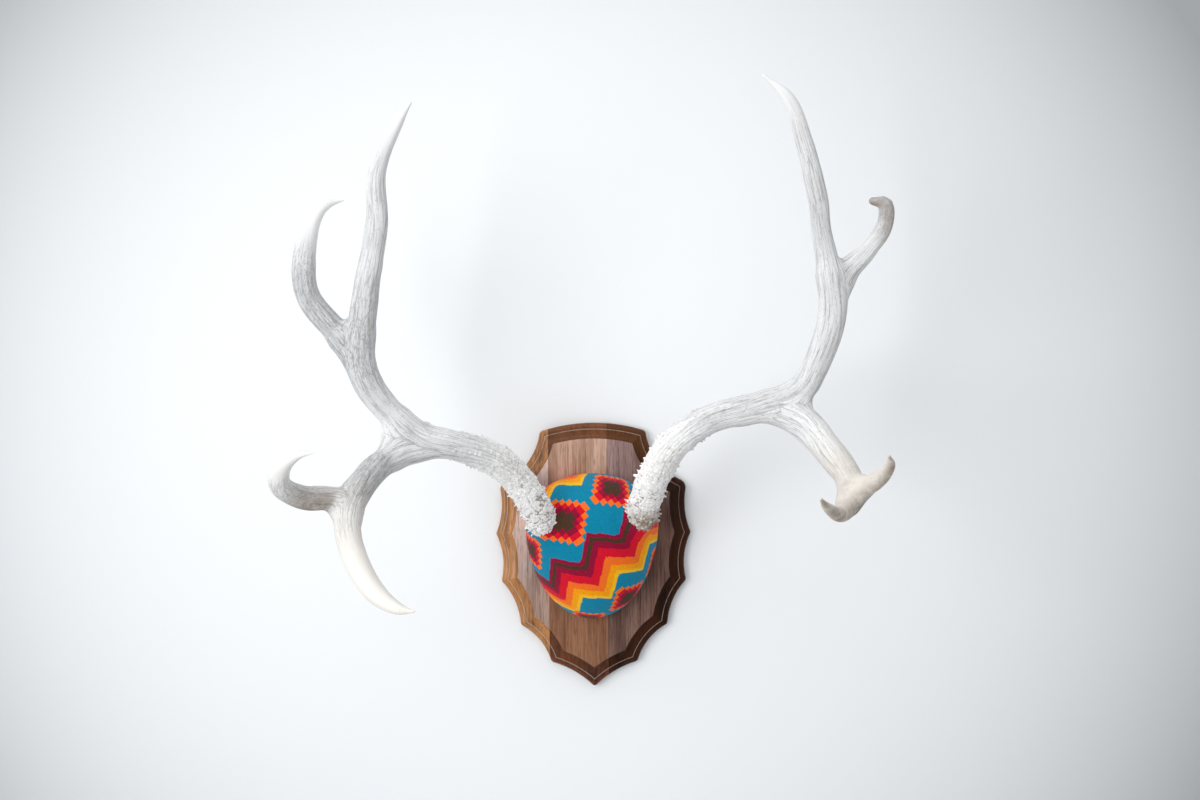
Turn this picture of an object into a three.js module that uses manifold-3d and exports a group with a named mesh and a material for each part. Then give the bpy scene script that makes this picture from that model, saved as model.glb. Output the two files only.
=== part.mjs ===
// A mule deer's antlers on a wall plaque: a scalloped shield of three glued walnut staves, a dome covered in
// blanket wool over the skull plate, and two bleached antlers, each with four points.
// Millimetres, +Z up. The wall is the plane y = 0, the mount faces -Y, and x = 0 is the shield's middle.
// Left and right are as seen from in front.

import * as THREE from "three";
import Module from "manifold-3d";
import { mergeVertices } from "three/addons/utils/BufferGeometryUtils.js";

const wasm = await Module();
wasm.setup();

// Driving dimensions
const GAP = 0.3; // between pieces that touch
const PLAQUE_THICKNESS = 19;
const PLAQUE_FACE = -PLAQUE_THICKNESS;
const STAVE_JOINTS = [-49.5, 15.5]; // x of the two glue lines

// The shield's right half, corner by corner from the neck down to the tip: x, z, and the sagitta of the arc
// that leads on to the next corner. A scallop bows inwards, so its sagitta is positive.
const NECK_ARC_RISE = 9.4;
const SHIELD_CORNERS = [
  { x: 59, z: 137, sagitta: 10.4 },
  { x: 104.8, z: 79, sagitta: 4.6 },
  { x: 108.6, z: 23.7, sagitta: 4.8 },
  { x: 103.1, z: -29.1, sagitta: 4.8 },
  { x: 81.7, z: -78.2, sagitta: 5.4 },
  { x: 47.9, z: -119.6, sagitta: 3.6 },
];
const SHIELD_TIP_Z = -147.8;
const CORNER_ROUND = 3.4;
const LEAST_ROUND = 0.35;
const ARC_STEPS = 5;
const CORNER_STEPS = 2;

// The moulding round the shield, from the wall to the face: inset from the outline, and height off the wall.
const MOULDING = [
  { inset: 0.8, height: 0 },
  { inset: 0, height: 1 },
  { inset: 0, height: 5.5 },
  { inset: 1.9, height: 9.2 },
  { inset: 6.2, height: 11 },
  { inset: 7.2, height: 12 },
  { inset: 11.6, height: 13 },
  { inset: 15.4, height: 15.6 },
  { inset: 17.4, height: PLAQUE_THICKNESS },
];

// The wool dome: an egg with its narrow end down
const DOME = {
  x: -1.5,
  z: 37.5,
  halfWidth: 73.5,
  up: 53.5,
  down: 106.5,
  rise: 62,
  tuck: 0.965,
  tuckHeight: 5,
  fullness: 0.95,
};
const DOME_SIDES = 36;
const DOME_RINGS = 9;

// Fixings on the back
const HANGER = { x: -17, z: 92, width: 46, height: 15, thickness: 1.2, teeth: 9, toothDepth: 3 };
const HANGER_POCKET = { width: 56, height: 24, depth: 2.6 };
const HANGER_SCREW = { radius: 2.6, reach: 18.5, height: 0.7 };
const PLATE_SCREWS = [
  { x: -17, z: 55 },
  { x: -34, z: -16 },
  { x: 2, z: -16 },
];
const PLATE_SCREW = { head: 4.4, shank: 2.2, countersink: 3.2, length: 7 };

// Each limb of an antler: stations along its middle line, as x, y, z and radius. A crotch is the width of
// the hollow between a limb and its branch where the web that fills it ends.
const ANTLERS = {
  left: {
    seed: 11,
    crotches: { front: 12, backOuter: 2, frontOuter: 9 },
    main: [
      [-44, -42, 28, 16],
      [-54, -66, 41, 17],
      [-62, -82, 60, 17],
      [-86, -101, 96, 17.2],
      [-109, -117, 114, 17],
      [-146, -141, 127, 15.3],
      [-177, -149, 136, 15.4],
      [-206, -158, 161, 14.2],
      [-229, -169, 194, 15],
      [-234, -175, 227, 14.3],
      [-226, -186, 282, 13.1],
      [-213, -198, 352, 11.1],
      [-211, -206, 402, 8.9],
      [-189, -214, 449, 5.2],
      [-176, -217, 467, 1.2],
    ],
    front: [
      [-160, -144, 125, 12],
      [-203, -162, 116, 13.8],
      [-229, -192, 89, 13],
      [-241, -222, 53, 13.3],
      [-228, -250, 16, 12],
      [-207, -272, -11, 10.3],
      [-184, -288, -24, 5.9],
      [-168, -296, -26, 1.4],
    ],
    backOuter: [
      [-227, -167, 192, 12],
      [-243, -172, 225, 13.4],
      [-256, -173, 241, 13.2],
      [-285, -182, 279, 12.1],
      [-287, -192, 315, 11.6],
      [-275, -198, 358, 8.1],
      [-264, -197, 369, 5.3],
      [-247, -193, 374, 1],
    ],
    frontOuter: [
      [-231, -194, 86, 10.5],
      [-257, -214, 77, 12.8],
      [-283, -236, 79, 11.7],
      [-301, -254, 92, 10.7],
      [-299, -264, 108, 9.8],
      [-282, -278, 121, 5.5],
      [-263, -286, 124, 1],
    ],
  },
  right: {
    seed: 29,
    crotches: { front: 7, backOuter: 2, frontOuter: 8 },
    main: [
      [44, -44, 32, 16],
      [52, -68, 47, 17],
      [57, -84, 66, 17.2],
      [64, -100, 88, 17.2],
      [86, -121, 125, 16.7],
      [119, -137, 149, 15],
      [175, -149, 165, 14.6],
      [213, -155, 179, 13.8],
      [232, -164, 211, 13.8],
      [245, -175, 260, 14.4],
      [239, -184, 308, 11.8],
      [232, -190, 343, 9.9],
      [229, -196, 368, 10.2],
      [214, -207, 426, 8.7],
      [198, -214, 468, 6.5],
      [173, -218, 491, 1.7],
    ],
    front: [
      [184, -149, 165, 12],
      [217, -162, 150, 13.3],
      [240, -190, 119, 13.3],
      [254, -218, 90, 13.8],
      [252, -234, 74, 12],
      [237, -275, 61, 8.2],
      [218, -314, 71, 4.4],
      [212, -326, 78, 1.8],
    ],
    backOuter: [
      [243, -172, 259, 11.5],
      [256, -175, 295, 12.8],
      [280, -178, 320, 9.5],
      [297, -184, 345, 8.2],
      [297, -187, 367, 5.5],
      [283, -186, 371, 1.2],
    ],
    frontOuter: [
      [251, -210, 98, 10.5],
      [260, -238, 85, 10.7],
      [274, -274, 94, 8.1],
      [280, -304, 109, 4.7],
      [277, -315, 117, 1.6],
    ],
  },
};
const BURR_FROM = 22; // distance along the main limb where the antler leaves the wool
const BURR_LENGTH = 15;
const PEARLED_LENGTH = 150; // how far along the beam the pearls reach
const PEARLS = 28;
const LIMB_SIDES = 12;
const BURR_SIDES = 18;
const PEARL_RADIUS = [2.4, 4.2];
const BURR_KNOBS = 14;
const KNOB_RADIUS = [3.6, 5.2];

// Materials

const finish = (color, roughness) => new THREE.MeshStandardMaterial({ color, roughness, metalness: 0 });
const walnutPale = finish(0x8a6248, 0.45);
const walnutMid = finish(0x7a5238, 0.45);
const walnutDark = finish(0x54362a, 0.45);
const wool = finish(0x0c7f9c, 0.95);
const bleachedAntler = finish(0xe4e2dd, 0.7);
const steel = new THREE.MeshStandardMaterial({ color: 0xb0a58a, roughness: 0.35, metalness: 1 });

// Solids

function solidOf(geometry) {
  const bare = geometry.clone();
  for (const name of Object.keys(bare.attributes)) {
    if (name !== "position") bare.deleteAttribute(name);
  }
  const merged = mergeVertices(bare, 1e-4);
  return new wasm.Manifold(
    new wasm.Mesh({
      numProp: 3,
      vertProperties: merged.attributes.position.array,
      triVerts: new Uint32Array(merged.index.array),
    }),
  );
}

const joined = (solids) => solids.reduce((whole, solid) => whole.add(solid));

// The largest closed surface of a solid, which drops any loose scrap.
function largest(solid) {
  const bodies = solid.decompose();
  return bodies.reduce((best, body) => (body.volume() > best.volume() ? body : best));
}

function meshOf(name, solid, material) {
  const data = largest(solid).getMesh();
  const geometry = new THREE.BufferGeometry();
  geometry.setAttribute("position", new THREE.BufferAttribute(data.vertProperties, 3));
  geometry.setIndex(new THREE.BufferAttribute(data.triVerts, 1));
  const flat = geometry.toNonIndexed();
  flat.computeVertexNormals();
  const mesh = new THREE.Mesh(flat, material);
  mesh.name = name;
  return mesh;
}

// A closed skin over rings of equally many points, with a flat or pointed end at both ends.
function skinOver(rings) {
  const sides = rings[0].length;
  const points = rings.flat();
  const faces = [];
  for (let i = 0; i + 1 < rings.length; i++) {
    for (let j = 0; j < sides; j++) {
      const a = i * sides + j;
      const b = i * sides + ((j + 1) % sides);
      faces.push(a, b, b + sides, a, b + sides, a + sides);
    }
  }
  const middle = (ring) => ring.reduce((sum, p) => sum.add(p), new THREE.Vector3()).divideScalar(sides);
  const first = points.push(middle(rings[0])) - 1;
  const last = points.push(middle(rings.at(-1))) - 1;
  const top = (rings.length - 1) * sides;
  for (let j = 0; j < sides; j++) {
    const k = (j + 1) % sides;
    faces.push(first, k, j, last, top + j, top + k);
  }
  const geometry = new THREE.BufferGeometry().setFromPoints(points);
  geometry.setIndex(faces);
  return geometry;
}

function box(low, high) {
  const size = new THREE.Vector3().subVectors(high, low);
  const middle = new THREE.Vector3().addVectors(low, high).multiplyScalar(0.5);
  return solidOf(new THREE.BoxGeometry(size.x, size.y, size.z).translate(middle.x, middle.y, middle.z));
}

// A seeded draw between 0 and 1, so that each build is the same.
function seededDraw(seed) {
  let state = seed;
  return () => {
    state = (state * 1664525 + 1013904223) % 4294967296;
    return state / 4294967296;
  };
}

const between = ([low, high], share) => low + (high - low) * share;

// The plaque

// A circle through two corners that bows by a sagitta, to the shield's outside where it is a scallop.
function arcBetween(from, to, sagitta) {
  const chord = new THREE.Vector2().subVectors(to, from);
  const half = chord.length() / 2;
  const radius = (half * half + sagitta * sagitta) / (2 * Math.abs(sagitta));
  const outward = new THREE.Vector2(-chord.y, chord.x).normalize();
  const toCentre = Math.sign(sagitta) * (radius - Math.abs(sagitta));
  const centre = new THREE.Vector2().addVectors(from, to).multiplyScalar(0.5);
  centre.addScaledVector(outward, toCentre);
  return { centre, radius, hollow: sagitta > 0 };
}

// The outline's arcs, clockwise from the neck's left corner: the neck's crown, the right side, the left side.
function shieldArcs() {
  const right = SHIELD_CORNERS.map(({ x, z, sagitta }) => ({ at: new THREE.Vector2(x, z), sagitta }));
  const tip = { at: new THREE.Vector2(0, SHIELD_TIP_Z) };
  const left = right.map(({ at }) => ({ at: new THREE.Vector2(-at.x, at.y) })).reverse();
  const corners = [left.at(-1), ...right, tip, ...left.slice(0, -1)];
  const sides = right.map((corner) => corner.sagitta);
  const sagittas = [-NECK_ARC_RISE, ...sides, ...[...sides].reverse()];
  return corners.map(({ at }, i) => ({
    start: at,
    ...arcBetween(at, corners[(i + 1) % corners.length].at, sagittas[i]),
  }));
}

// Where two circles meet, on the side nearest to a point.
function circlesMeet(a, radiusA, b, radiusB, near) {
  const apart = a.distanceTo(b);
  const along = (apart * apart + radiusA * radiusA - radiusB * radiusB) / (2 * apart);
  const aside = Math.sqrt(Math.max(0, radiusA * radiusA - along * along));
  const line = new THREE.Vector2().subVectors(b, a).normalize();
  const across = new THREE.Vector2(-line.y, line.x);
  const foot = a.clone().addScaledVector(line, along);
  const options = [1, -1].map((side) => foot.clone().addScaledVector(across, side * aside));
  return options[0].distanceTo(near) < options[1].distanceTo(near) ? options[0] : options[1];
}

// Points on a circle from one place to another, the short way round.
function sweep(centre, from, to, steps) {
  const start = Math.atan2(from.y - centre.y, from.x - centre.x);
  const end = Math.atan2(to.y - centre.y, to.x - centre.x);
  const turn = Math.atan2(Math.sin(end - start), Math.cos(end - start));
  const radius = centre.distanceTo(from);
  return Array.from({ length: steps + 1 }, (_, i) => {
    const angle = start + (turn * i) / steps;
    return new THREE.Vector2(centre.x + radius * Math.cos(angle), centre.y + radius * Math.sin(angle));
  });
}

// The outline moved inwards by an inset. Each corner is rounded by a small arc that touches both of its arcs.
function shieldOutline(arcs, inset) {
  const round = Math.max(CORNER_ROUND - inset, LEAST_ROUND);
  const radiusAt = (arc, depth) => (arc.hollow ? arc.radius + depth : arc.radius - depth);
  const corners = arcs.map((arc, i) => {
    const before = arcs.at(i - 1);
    const depth = inset + round;
    const centre = circlesMeet(
      before.centre,
      radiusAt(before, depth),
      arc.centre,
      radiusAt(arc, depth),
      arc.start,
    );
    const touch = (side) =>
      new THREE.Vector2()
        .subVectors(centre, side.centre)
        .setLength(radiusAt(side, inset))
        .add(side.centre);
    return { centre, enter: touch(before), leave: touch(arc) };
  });
  return arcs.flatMap((arc, i) => {
    const corner = corners[i];
    const next = corners[(i + 1) % corners.length];
    const bend = sweep(corner.centre, corner.enter, corner.leave, CORNER_STEPS);
    const side = sweep(arc.centre, corner.leave, next.enter, ARC_STEPS);
    return [...bend, ...side.slice(1, -1)];
  });
}

function plaqueBlank() {
  const arcs = shieldArcs();
  const rings = MOULDING.map(({ inset, height }) =>
    shieldOutline(arcs, inset).map((p) => new THREE.Vector3(p.x, -height, p.y)).reverse(),
  );
  return solidOf(skinOver(rings));
}

// A countersunk screw, or with a clearance the hole that it sits in.
function plateScrewAt({ x, z }, clearance = 0) {
  const { head, shank, countersink, length } = PLATE_SCREW;
  const profile = [
    [0, clearance ? -1 : GAP],
    [head + clearance, clearance ? -1 : GAP],
    [head + clearance, 2 * GAP],
    [shank + clearance, countersink],
    [shank + clearance, length + clearance],
    [0, length + clearance],
  ].map(([radius, depth]) => new THREE.Vector2(radius, depth));
  return solidOf(new THREE.LatheGeometry(profile, 14).rotateX(Math.PI).translate(x, 0, z));
}

function plaqueMeshes() {
  const pocket = HANGER_POCKET;
  const cuts = joined([
    box(
      new THREE.Vector3(HANGER.x - pocket.width / 2, -pocket.depth, HANGER.z - pocket.height / 2),
      new THREE.Vector3(HANGER.x + pocket.width / 2, 1, HANGER.z + pocket.height / 2),
    ),
    ...PLATE_SCREWS.map((place) => plateScrewAt(place, GAP)),
  ]);
  const blank = plaqueBlank().subtract(cuts);
  const reach = 200;
  const edges = [-reach, ...STAVE_JOINTS, reach];
  const names = ["plaque_stave_left", "plaque_stave_middle", "plaque_stave_right"];
  const tones = [walnutPale, walnutMid, walnutDark];
  return names.map((name, i) => {
    const slab = box(
      new THREE.Vector3(edges[i] + GAP / 2, -reach, -reach),
      new THREE.Vector3(edges[i + 1] - GAP / 2, reach, reach),
    );
    return meshOf(name, blank.intersect(slab), tones[i]);
  });
}

// A saw-toothed steel hanger and its two screws, sunk in a pocket so that the plaque lies flat on the wall.
function hangerMeshes() {
  const { x, z, width, height, thickness, teeth, toothDepth } = HANGER;
  const outline = new THREE.Shape();
  outline.moveTo(-width / 2, -height / 2);
  outline.lineTo(-width / 2, height / 2);
  outline.lineTo(width / 2, height / 2);
  outline.lineTo(width / 2, -height / 2);
  const toothed = width * 0.56;
  const pitch = toothed / teeth;
  for (let i = 0; i < teeth; i++) {
    const right = toothed / 2 - i * pitch;
    outline.lineTo(right, -height / 2);
    outline.lineTo(right - pitch / 2, -height / 2 + toothDepth);
  }
  outline.lineTo(-toothed / 2, -height / 2);
  outline.closePath();
  const plate = new THREE.ExtrudeGeometry(outline, { depth: thickness, bevelEnabled: false });
  plate.rotateX(Math.PI / 2).translate(x, -HANGER_POCKET.depth + GAP + thickness, z);
  const screws = [-1, 1].map((side) => {
    const head = new THREE.CylinderGeometry(HANGER_SCREW.radius * 0.8, HANGER_SCREW.radius, HANGER_SCREW.height, 14);
    const back = -HANGER_POCKET.depth + 2 * GAP + thickness;
    head.translate(x + side * HANGER_SCREW.reach, back + HANGER_SCREW.height / 2, z + 1);
    return meshOf(side < 0 ? "hanger_screw_left" : "hanger_screw_right", solidOf(head), steel);
  });
  return [meshOf("hanger_plate", solidOf(plate), steel), ...screws];
}

function plateScrewMeshes() {
  return PLATE_SCREWS.map((place, i) => meshOf(`plate_screw_${i + 1}`, plateScrewAt(place), steel));
}

// The antlers

// One limb: a smooth line through its stations, with a radius that runs smoothly from one to the next.
class Limb {
  constructor(stations) {
    this.radii = stations.map((station) => station[3]);
    this.line = new THREE.CatmullRomCurve3(stations.map(([x, y, z]) => new THREE.Vector3(x, y, z)));
    this.line.arcLengthDivisions = 400;
    this.length = this.line.getLength();
  }

  // The place, heading and radius at a distance along the limb.
  at(distance) {
    const share = THREE.MathUtils.clamp(distance / this.length, 0, 1);
    const place = this.line.getUtoTmapping(share) * (this.radii.length - 1);
    const i = Math.min(Math.floor(place), this.radii.length - 2);
    const r = (k) => this.radii[THREE.MathUtils.clamp(k, 0, this.radii.length - 1)];
    const t = place - i;
    const slopes = [(r(i + 1) - r(i - 1)) / 2, (r(i + 2) - r(i)) / 2];
    const radius =
      r(i) * (1 + 2 * t) * (1 - t) ** 2 +
      slopes[0] * t * (1 - t) ** 2 +
      r(i + 1) * t ** 2 * (3 - 2 * t) +
      slopes[1] * t ** 2 * (t - 1);
    return { point: this.line.getPointAt(share), heading: this.line.getTangentAt(share), radius };
  }

  // A closed tube from one distance along the limb to another.
  tube(from, to, sides, scale = () => 1) {
    const rings = [];
    let across = new THREE.Vector3(0, -1, 0);
    for (let distance = from; ; ) {
      const { point, heading, radius } = this.at(distance);
      across = across.clone().addScaledVector(heading, -across.dot(heading)).normalize();
      const beside = new THREE.Vector3().crossVectors(heading, across);
      const reach = radius * scale(distance);
      rings.push(
        Array.from({ length: sides }, (_, j) => {
          const angle = (2 * Math.PI * j) / sides;
          return point
            .clone()
            .addScaledVector(across, reach * Math.cos(angle))
            .addScaledVector(beside, reach * Math.sin(angle));
        }),
      );
      if (distance >= to) break;
      const step = THREE.MathUtils.clamp(radius * 0.95, 2.5, 12);
      distance = to - distance < step * 1.4 ? to : distance + step;
    }
    return solidOf(skinOver(rings));
  }

  nearest(point) {
    let best = { distance: 0, apart: Infinity };
    for (let distance = 0; distance <= this.length; distance += 2) {
      const apart = this.at(distance).point.distanceTo(point);
      if (apart < best.apart) best = { distance, apart };
    }
    return best;
  }

  // How far the skins of this limb and another stand apart, at a distance along this one.
  clearOf(other, distance) {
    const { point, radius } = this.at(distance);
    const { distance: there, apart } = other.nearest(point);
    return there > 0 ? apart - radius - other.at(there).radius : -Infinity;
  }
}

// Where a limb and its branch have parted by the width of the crotch, as a distance along each of them.
function parting(limb, branch, crotch) {
  let onBranch = branch.length;
  while (branch.clearOf(limb, onBranch) > crotch) onBranch -= 1;
  let onLimb = limb.nearest(branch.at(onBranch).point).distance;
  while (onLimb < limb.length && limb.clearOf(branch, onLimb) < crotch) onLimb += 1;
  return { onLimb, onBranch };
}

// Fills the crotch of a fork: the hull of a slice of the limb and a slice of its branch.
function forkWeb(limb, branch, { onLimb, onBranch }, sides) {
  const slice = (of, end) => of.tube(end - 5, end - 2, sides);
  return wasm.Manifold.hull([slice(limb, onLimb), slice(branch, onBranch)]);
}

// A knob set on a limb, its root sunk into it: a low pyramid-like lump of twenty faces.
function knobOn(limb, distance, angle, radius, sink) {
  const { point, heading, radius: reach } = limb.at(distance);
  const across = new THREE.Vector3(0, -1, 0).addScaledVector(heading, heading.y).normalize();
  const outward = across.applyAxisAngle(heading, angle);
  const centre = point.clone().addScaledVector(outward, reach - radius * sink);
  const lump = new THREE.IcosahedronGeometry(radius, 0);
  lump.rotateX(angle * 7).rotateY(distance);
  return solidOf(lump.translate(centre.x, centre.y, centre.z));
}

function pearlsOn(limb, from, to, count, draw) {
  return Array.from({ length: count }, (_, i) => {
    const share = (i + 0.5 * draw()) / count;
    const distance = from + (to - from) * share ** 1.5;
    const angle = i * 2.4 + 0.9 * (draw() - 0.5);
    const radius = between(PEARL_RADIUS, (1 - share) * (0.4 + 0.6 * draw()));
    return knobOn(limb, distance, angle, radius, 0.25);
  });
}

function burrKnobs(limb, draw) {
  const rows = [BURR_FROM + 5, BURR_FROM + 10.5];
  return rows.flatMap((distance, row) =>
    Array.from({ length: BURR_KNOBS }, (_, i) => {
      const angle = (2 * Math.PI * (i + 0.5 * row + 0.4 * (draw() - 0.5))) / BURR_KNOBS;
      const radius = between(KNOB_RADIUS, draw()) * (row ? 0.8 : 1);
      return knobOn(limb, distance + 2 * (draw() - 0.5), angle, radius, row ? 0.15 : -0.05);
    }),
  );
}

// One antler, parted by thin cuts past each fork: every node is made of its own stretches of limb.
function antlerMeshes(side, antler, keepClear) {
  const draw = seededDraw(antler.seed);
  const { crotches } = antler;
  const main = new Limb(antler.main);
  const front = new Limb(antler.front);
  const backOuter = new Limb(antler.backOuter);
  const frontOuter = new Limb(antler.frontOuter);
  const burrEnd = BURR_FROM + BURR_LENGTH;
  const first = parting(main, front, crotches.front);
  const back = parting(main, backOuter, crotches.backOuter);
  const fore = parting(front, frontOuter, crotches.frontOuter);
  const stretch = (limb, from, to) => limb.tube(from + GAP / 2, to - GAP / 2, LIMB_SIDES);
  const root = (limb, to) => limb.tube(0, to - GAP / 2, LIMB_SIDES);
  const tip = (limb, from) => limb.tube(from + GAP / 2, limb.length, LIMB_SIDES);

  const flare = (distance) => 1 + 0.14 * Math.exp(-(((distance - BURR_FROM - 7) / 5) ** 2));
  const burrTube = main.tube(BURR_FROM + GAP / 2, burrEnd - GAP / 2, BURR_SIDES, flare);
  const burr = joined([burrTube, ...burrKnobs(main, draw)])
    .intersect(allBehind(main.at(burrEnd - GAP / 2)))
    .subtract(keepClear);
  const beam = joined([
    stretch(main, burrEnd, first.onLimb),
    root(front, first.onBranch),
    forkWeb(main, front, first, LIMB_SIDES),
    ...pearlsOn(main, burrEnd + 5, burrEnd + PEARLED_LENGTH, PEARLS, draw),
  ]).subtract(keepClear);
  const backBranch = joined([
    stretch(main, first.onLimb, back.onLimb),
    root(backOuter, back.onBranch),
    forkWeb(main, backOuter, back, LIMB_SIDES),
  ]);
  const frontBranch = joined([
    stretch(front, first.onBranch, fore.onLimb),
    root(frontOuter, fore.onBranch),
    forkWeb(front, frontOuter, fore, LIMB_SIDES),
  ]);
  const solids = {
    burr,
    beam,
    back_branch: backBranch,
    back_tine_tall: tip(main, back.onLimb),
    back_tine_outer: tip(backOuter, back.onBranch),
    front_branch: frontBranch,
    front_tine_inner: tip(front, fore.onLimb),
    front_tine_outer: tip(frontOuter, fore.onBranch),
  };
  return Object.entries(solids).map(([part, solid]) =>
    meshOf(`antler_${side}_${part}`, solid, bleachedAntler),
  );
}

// A large block that holds everything behind a place on a limb.
function allBehind({ point, heading }) {
  const size = 120;
  const block = new THREE.BoxGeometry(size, size, size).translate(0, 0, -size / 2);
  block.applyQuaternion(new THREE.Quaternion().setFromUnitVectors(new THREE.Vector3(0, 0, 1), heading));
  return solidOf(block.translate(point.x, point.y, point.z));
}

// The wool dome

function domeSolid(grow) {
  const levels = [
    { scale: DOME.tuck, height: GAP - (grow ? 2 : 0) },
    { scale: 1, height: DOME.tuckHeight },
  ];
  for (let i = 1; i < DOME_RINGS; i++) {
    const angle = (Math.PI / 2) * (i / DOME_RINGS) ** 0.9;
    levels.push({
      scale: Math.cos(angle) ** DOME.fullness,
      height: DOME.tuckHeight + (DOME.rise - DOME.tuckHeight) * Math.sin(angle),
    });
  }
  levels.push({ scale: 0.06, height: DOME.rise });
  const rings = levels.map(({ scale, height }) =>
    Array.from({ length: DOME_SIDES }, (_, j) => {
      const angle = (2 * Math.PI * j) / DOME_SIDES;
      const reach = Math.sin(angle) > 0 ? DOME.up : DOME.down;
      return new THREE.Vector3(
        DOME.x + (DOME.halfWidth * scale + grow) * Math.cos(angle),
        PLAQUE_FACE - height - grow,
        DOME.z + (reach * scale + grow) * Math.sin(angle),
      );
    }),
  );
  return solidOf(skinOver(rings));
}

// The wool is drawn up over the bone stubs that the antlers stand on.
function woolDome(grow) {
  const stubs = Object.values(ANTLERS).map(({ main }) => {
    const limb = new Limb(main);
    const collar = (distance) => 1.04 + 0.35 * (1 - distance / BURR_FROM);
    return limb.tube(0, BURR_FROM - GAP / 2, 16, (distance) => collar(distance) + grow / 20);
  });
  return joined([domeSolid(grow), ...stubs]);
}

// The whole mount

const mount = new THREE.Group();
mount.name = "antler_mount";
mount.add(...plaqueMeshes(), ...hangerMeshes(), ...plateScrewMeshes());
mount.add(meshOf("skull_cap_wool", woolDome(0), wool));
const keepClear = woolDome(GAP);
for (const [side, antler] of Object.entries(ANTLERS)) {
  mount.add(...antlerMeshes(side, antler, keepClear));
}

export default mount;
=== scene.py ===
# %% [markdown]
# # A mule deer's antlers on a walnut plaque
# The imported model gives the frame: every piece below is in metres and sits where its solid sits. The wall is
# the plane y = 0, the mount faces -Y and +Z is up.

# %% Load the imported model
import math

import bmesh
import bpy
import numpy as np
from mathutils import Matrix, Vector


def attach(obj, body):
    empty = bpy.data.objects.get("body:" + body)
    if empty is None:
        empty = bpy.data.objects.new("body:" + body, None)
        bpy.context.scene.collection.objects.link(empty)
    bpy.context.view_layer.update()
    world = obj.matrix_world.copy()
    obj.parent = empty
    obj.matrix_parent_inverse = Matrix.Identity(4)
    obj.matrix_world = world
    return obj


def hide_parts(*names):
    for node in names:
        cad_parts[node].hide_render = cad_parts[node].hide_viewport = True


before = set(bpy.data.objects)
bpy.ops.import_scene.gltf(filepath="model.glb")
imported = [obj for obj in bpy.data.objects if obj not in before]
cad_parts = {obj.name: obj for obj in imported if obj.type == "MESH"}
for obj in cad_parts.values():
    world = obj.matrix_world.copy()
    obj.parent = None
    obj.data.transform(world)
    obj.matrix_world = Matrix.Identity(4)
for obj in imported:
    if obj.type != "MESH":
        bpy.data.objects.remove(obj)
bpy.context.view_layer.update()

MM = 0.001
scene = bpy.context.scene

# %% [markdown]
# ## The camera
# The photographer stood almost square to the wall, a little under two metres away, with a normal lens that
# leant by half a degree. Building the camera's axes by hand keeps that lean exact, where a pan and a tilt
# would mix it with the heading.

# %% Place the camera
LEAN = math.radians(0.5)
EYE = (8.65 * MM, -1864 * MM, 171.6 * MM)
camera_data = bpy.data.cameras.new("camera")
camera_data.lens = 50
camera_data.sensor_width = 36
camera = bpy.data.objects.new("camera", camera_data)
scene.collection.objects.link(camera)
to_right = Vector((math.cos(LEAN), 0, -math.sin(LEAN)))
to_top = Vector((math.sin(LEAN), 0, math.cos(LEAN)))
back = Vector((0, -1, 0))
axes = Matrix((to_right, to_top, back)).transposed().to_4x4()
camera.matrix_world = Matrix.Translation(EYE) @ axes
scene.camera = camera
print("camera at", [round(v, 3) for v in camera.matrix_world.translation])

# %% [markdown]
# ## Values in a material
# A finish is worked out from many small sums. Writing them as Python sums keeps them readable, so one small
# class stands for a socket: a sum on it adds a Math node, and its node method adds any other kind of node,
# with the settings first and then the values or links of its sockets.

# %% A socket that can be used in sums
class Value:
    """An output socket of a material's nodes, which can be used in sums."""

    def __init__(self, tree, socket=None):
        self.tree = tree
        self.socket = socket

    def node(self, kind, values=None, out=0, **settings):
        made = self.tree.nodes.new("ShaderNode" + kind)
        for name, setting in settings.items():
            setattr(made, name, setting)
        for key, value in (values or {}).items():
            if isinstance(value, Value):
                self.tree.links.new(value.socket, made.inputs[key])
            else:
                made.inputs[key].default_value = value
        return Value(self.tree, made.outputs[out] if made.outputs else None)

    def sum(self, operation, *values):
        return self.node("Math", dict(enumerate(values)), operation=operation)

    __add__ = __radd__ = lambda self, other: self.sum("ADD", self, other)
    __mul__ = __rmul__ = lambda self, other: self.sum("MULTIPLY", self, other)
    __sub__ = lambda self, other: self.sum("SUBTRACT", self, other)
    __rsub__ = lambda self, other: self.sum("SUBTRACT", other, self)
    __truediv__ = lambda self, other: self.sum("DIVIDE", self, other)
    __pow__ = lambda self, other: self.sum("POWER", self, other)
    __abs__ = lambda self: self.sum("ABSOLUTE", self)
    over = lambda self, level: self.sum("GREATER_THAN", self, level)
    least = lambda self, other: self.sum("MINIMUM", self, other)
    most = lambda self, other: self.sum("MAXIMUM", self, other)
    stepped = lambda self, step: self.sum("SNAP", self, step)
    wrapped = lambda self, low, high: self.sum("WRAP", self, high, low)
    wave = lambda self, height: self.sum("PINGPONG", self, height)

    def between(self, low, high):
        """Runs from 0 to 1 as the value goes from low to high, with soft ends."""
        return self.node("MapRange", {0: self, 1: low, 2: high}, interpolation_type="SMOOTHSTEP")

    def part(self, axis):
        return self.node("SeparateXYZ", {0: self}, out="XYZ".index(axis))

    def stretched(self, x, y, z):
        return self.node("Mapping", {"Vector": self, "Scale": (x, y, z)})

    def noise(self, scale, detail=2.0, roughness=0.5):
        values = {"Vector": self, "Scale": scale, "Detail": detail, "Roughness": roughness}
        return self.node("TexNoise", values)

    def bump(self, strength, distance):
        return self.node("Bump", {"Height": self, "Strength": strength, "Distance": distance})

    def mix(self, first, second):
        """Goes from the first colour to the second as this value goes from 0 to 1."""
        return self.node("Mix", {0: self, 6: first, 7: second}, out=2, data_type="RGBA")

    def mix_values(self, first, second):
        return first + (second - first) * self


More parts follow.
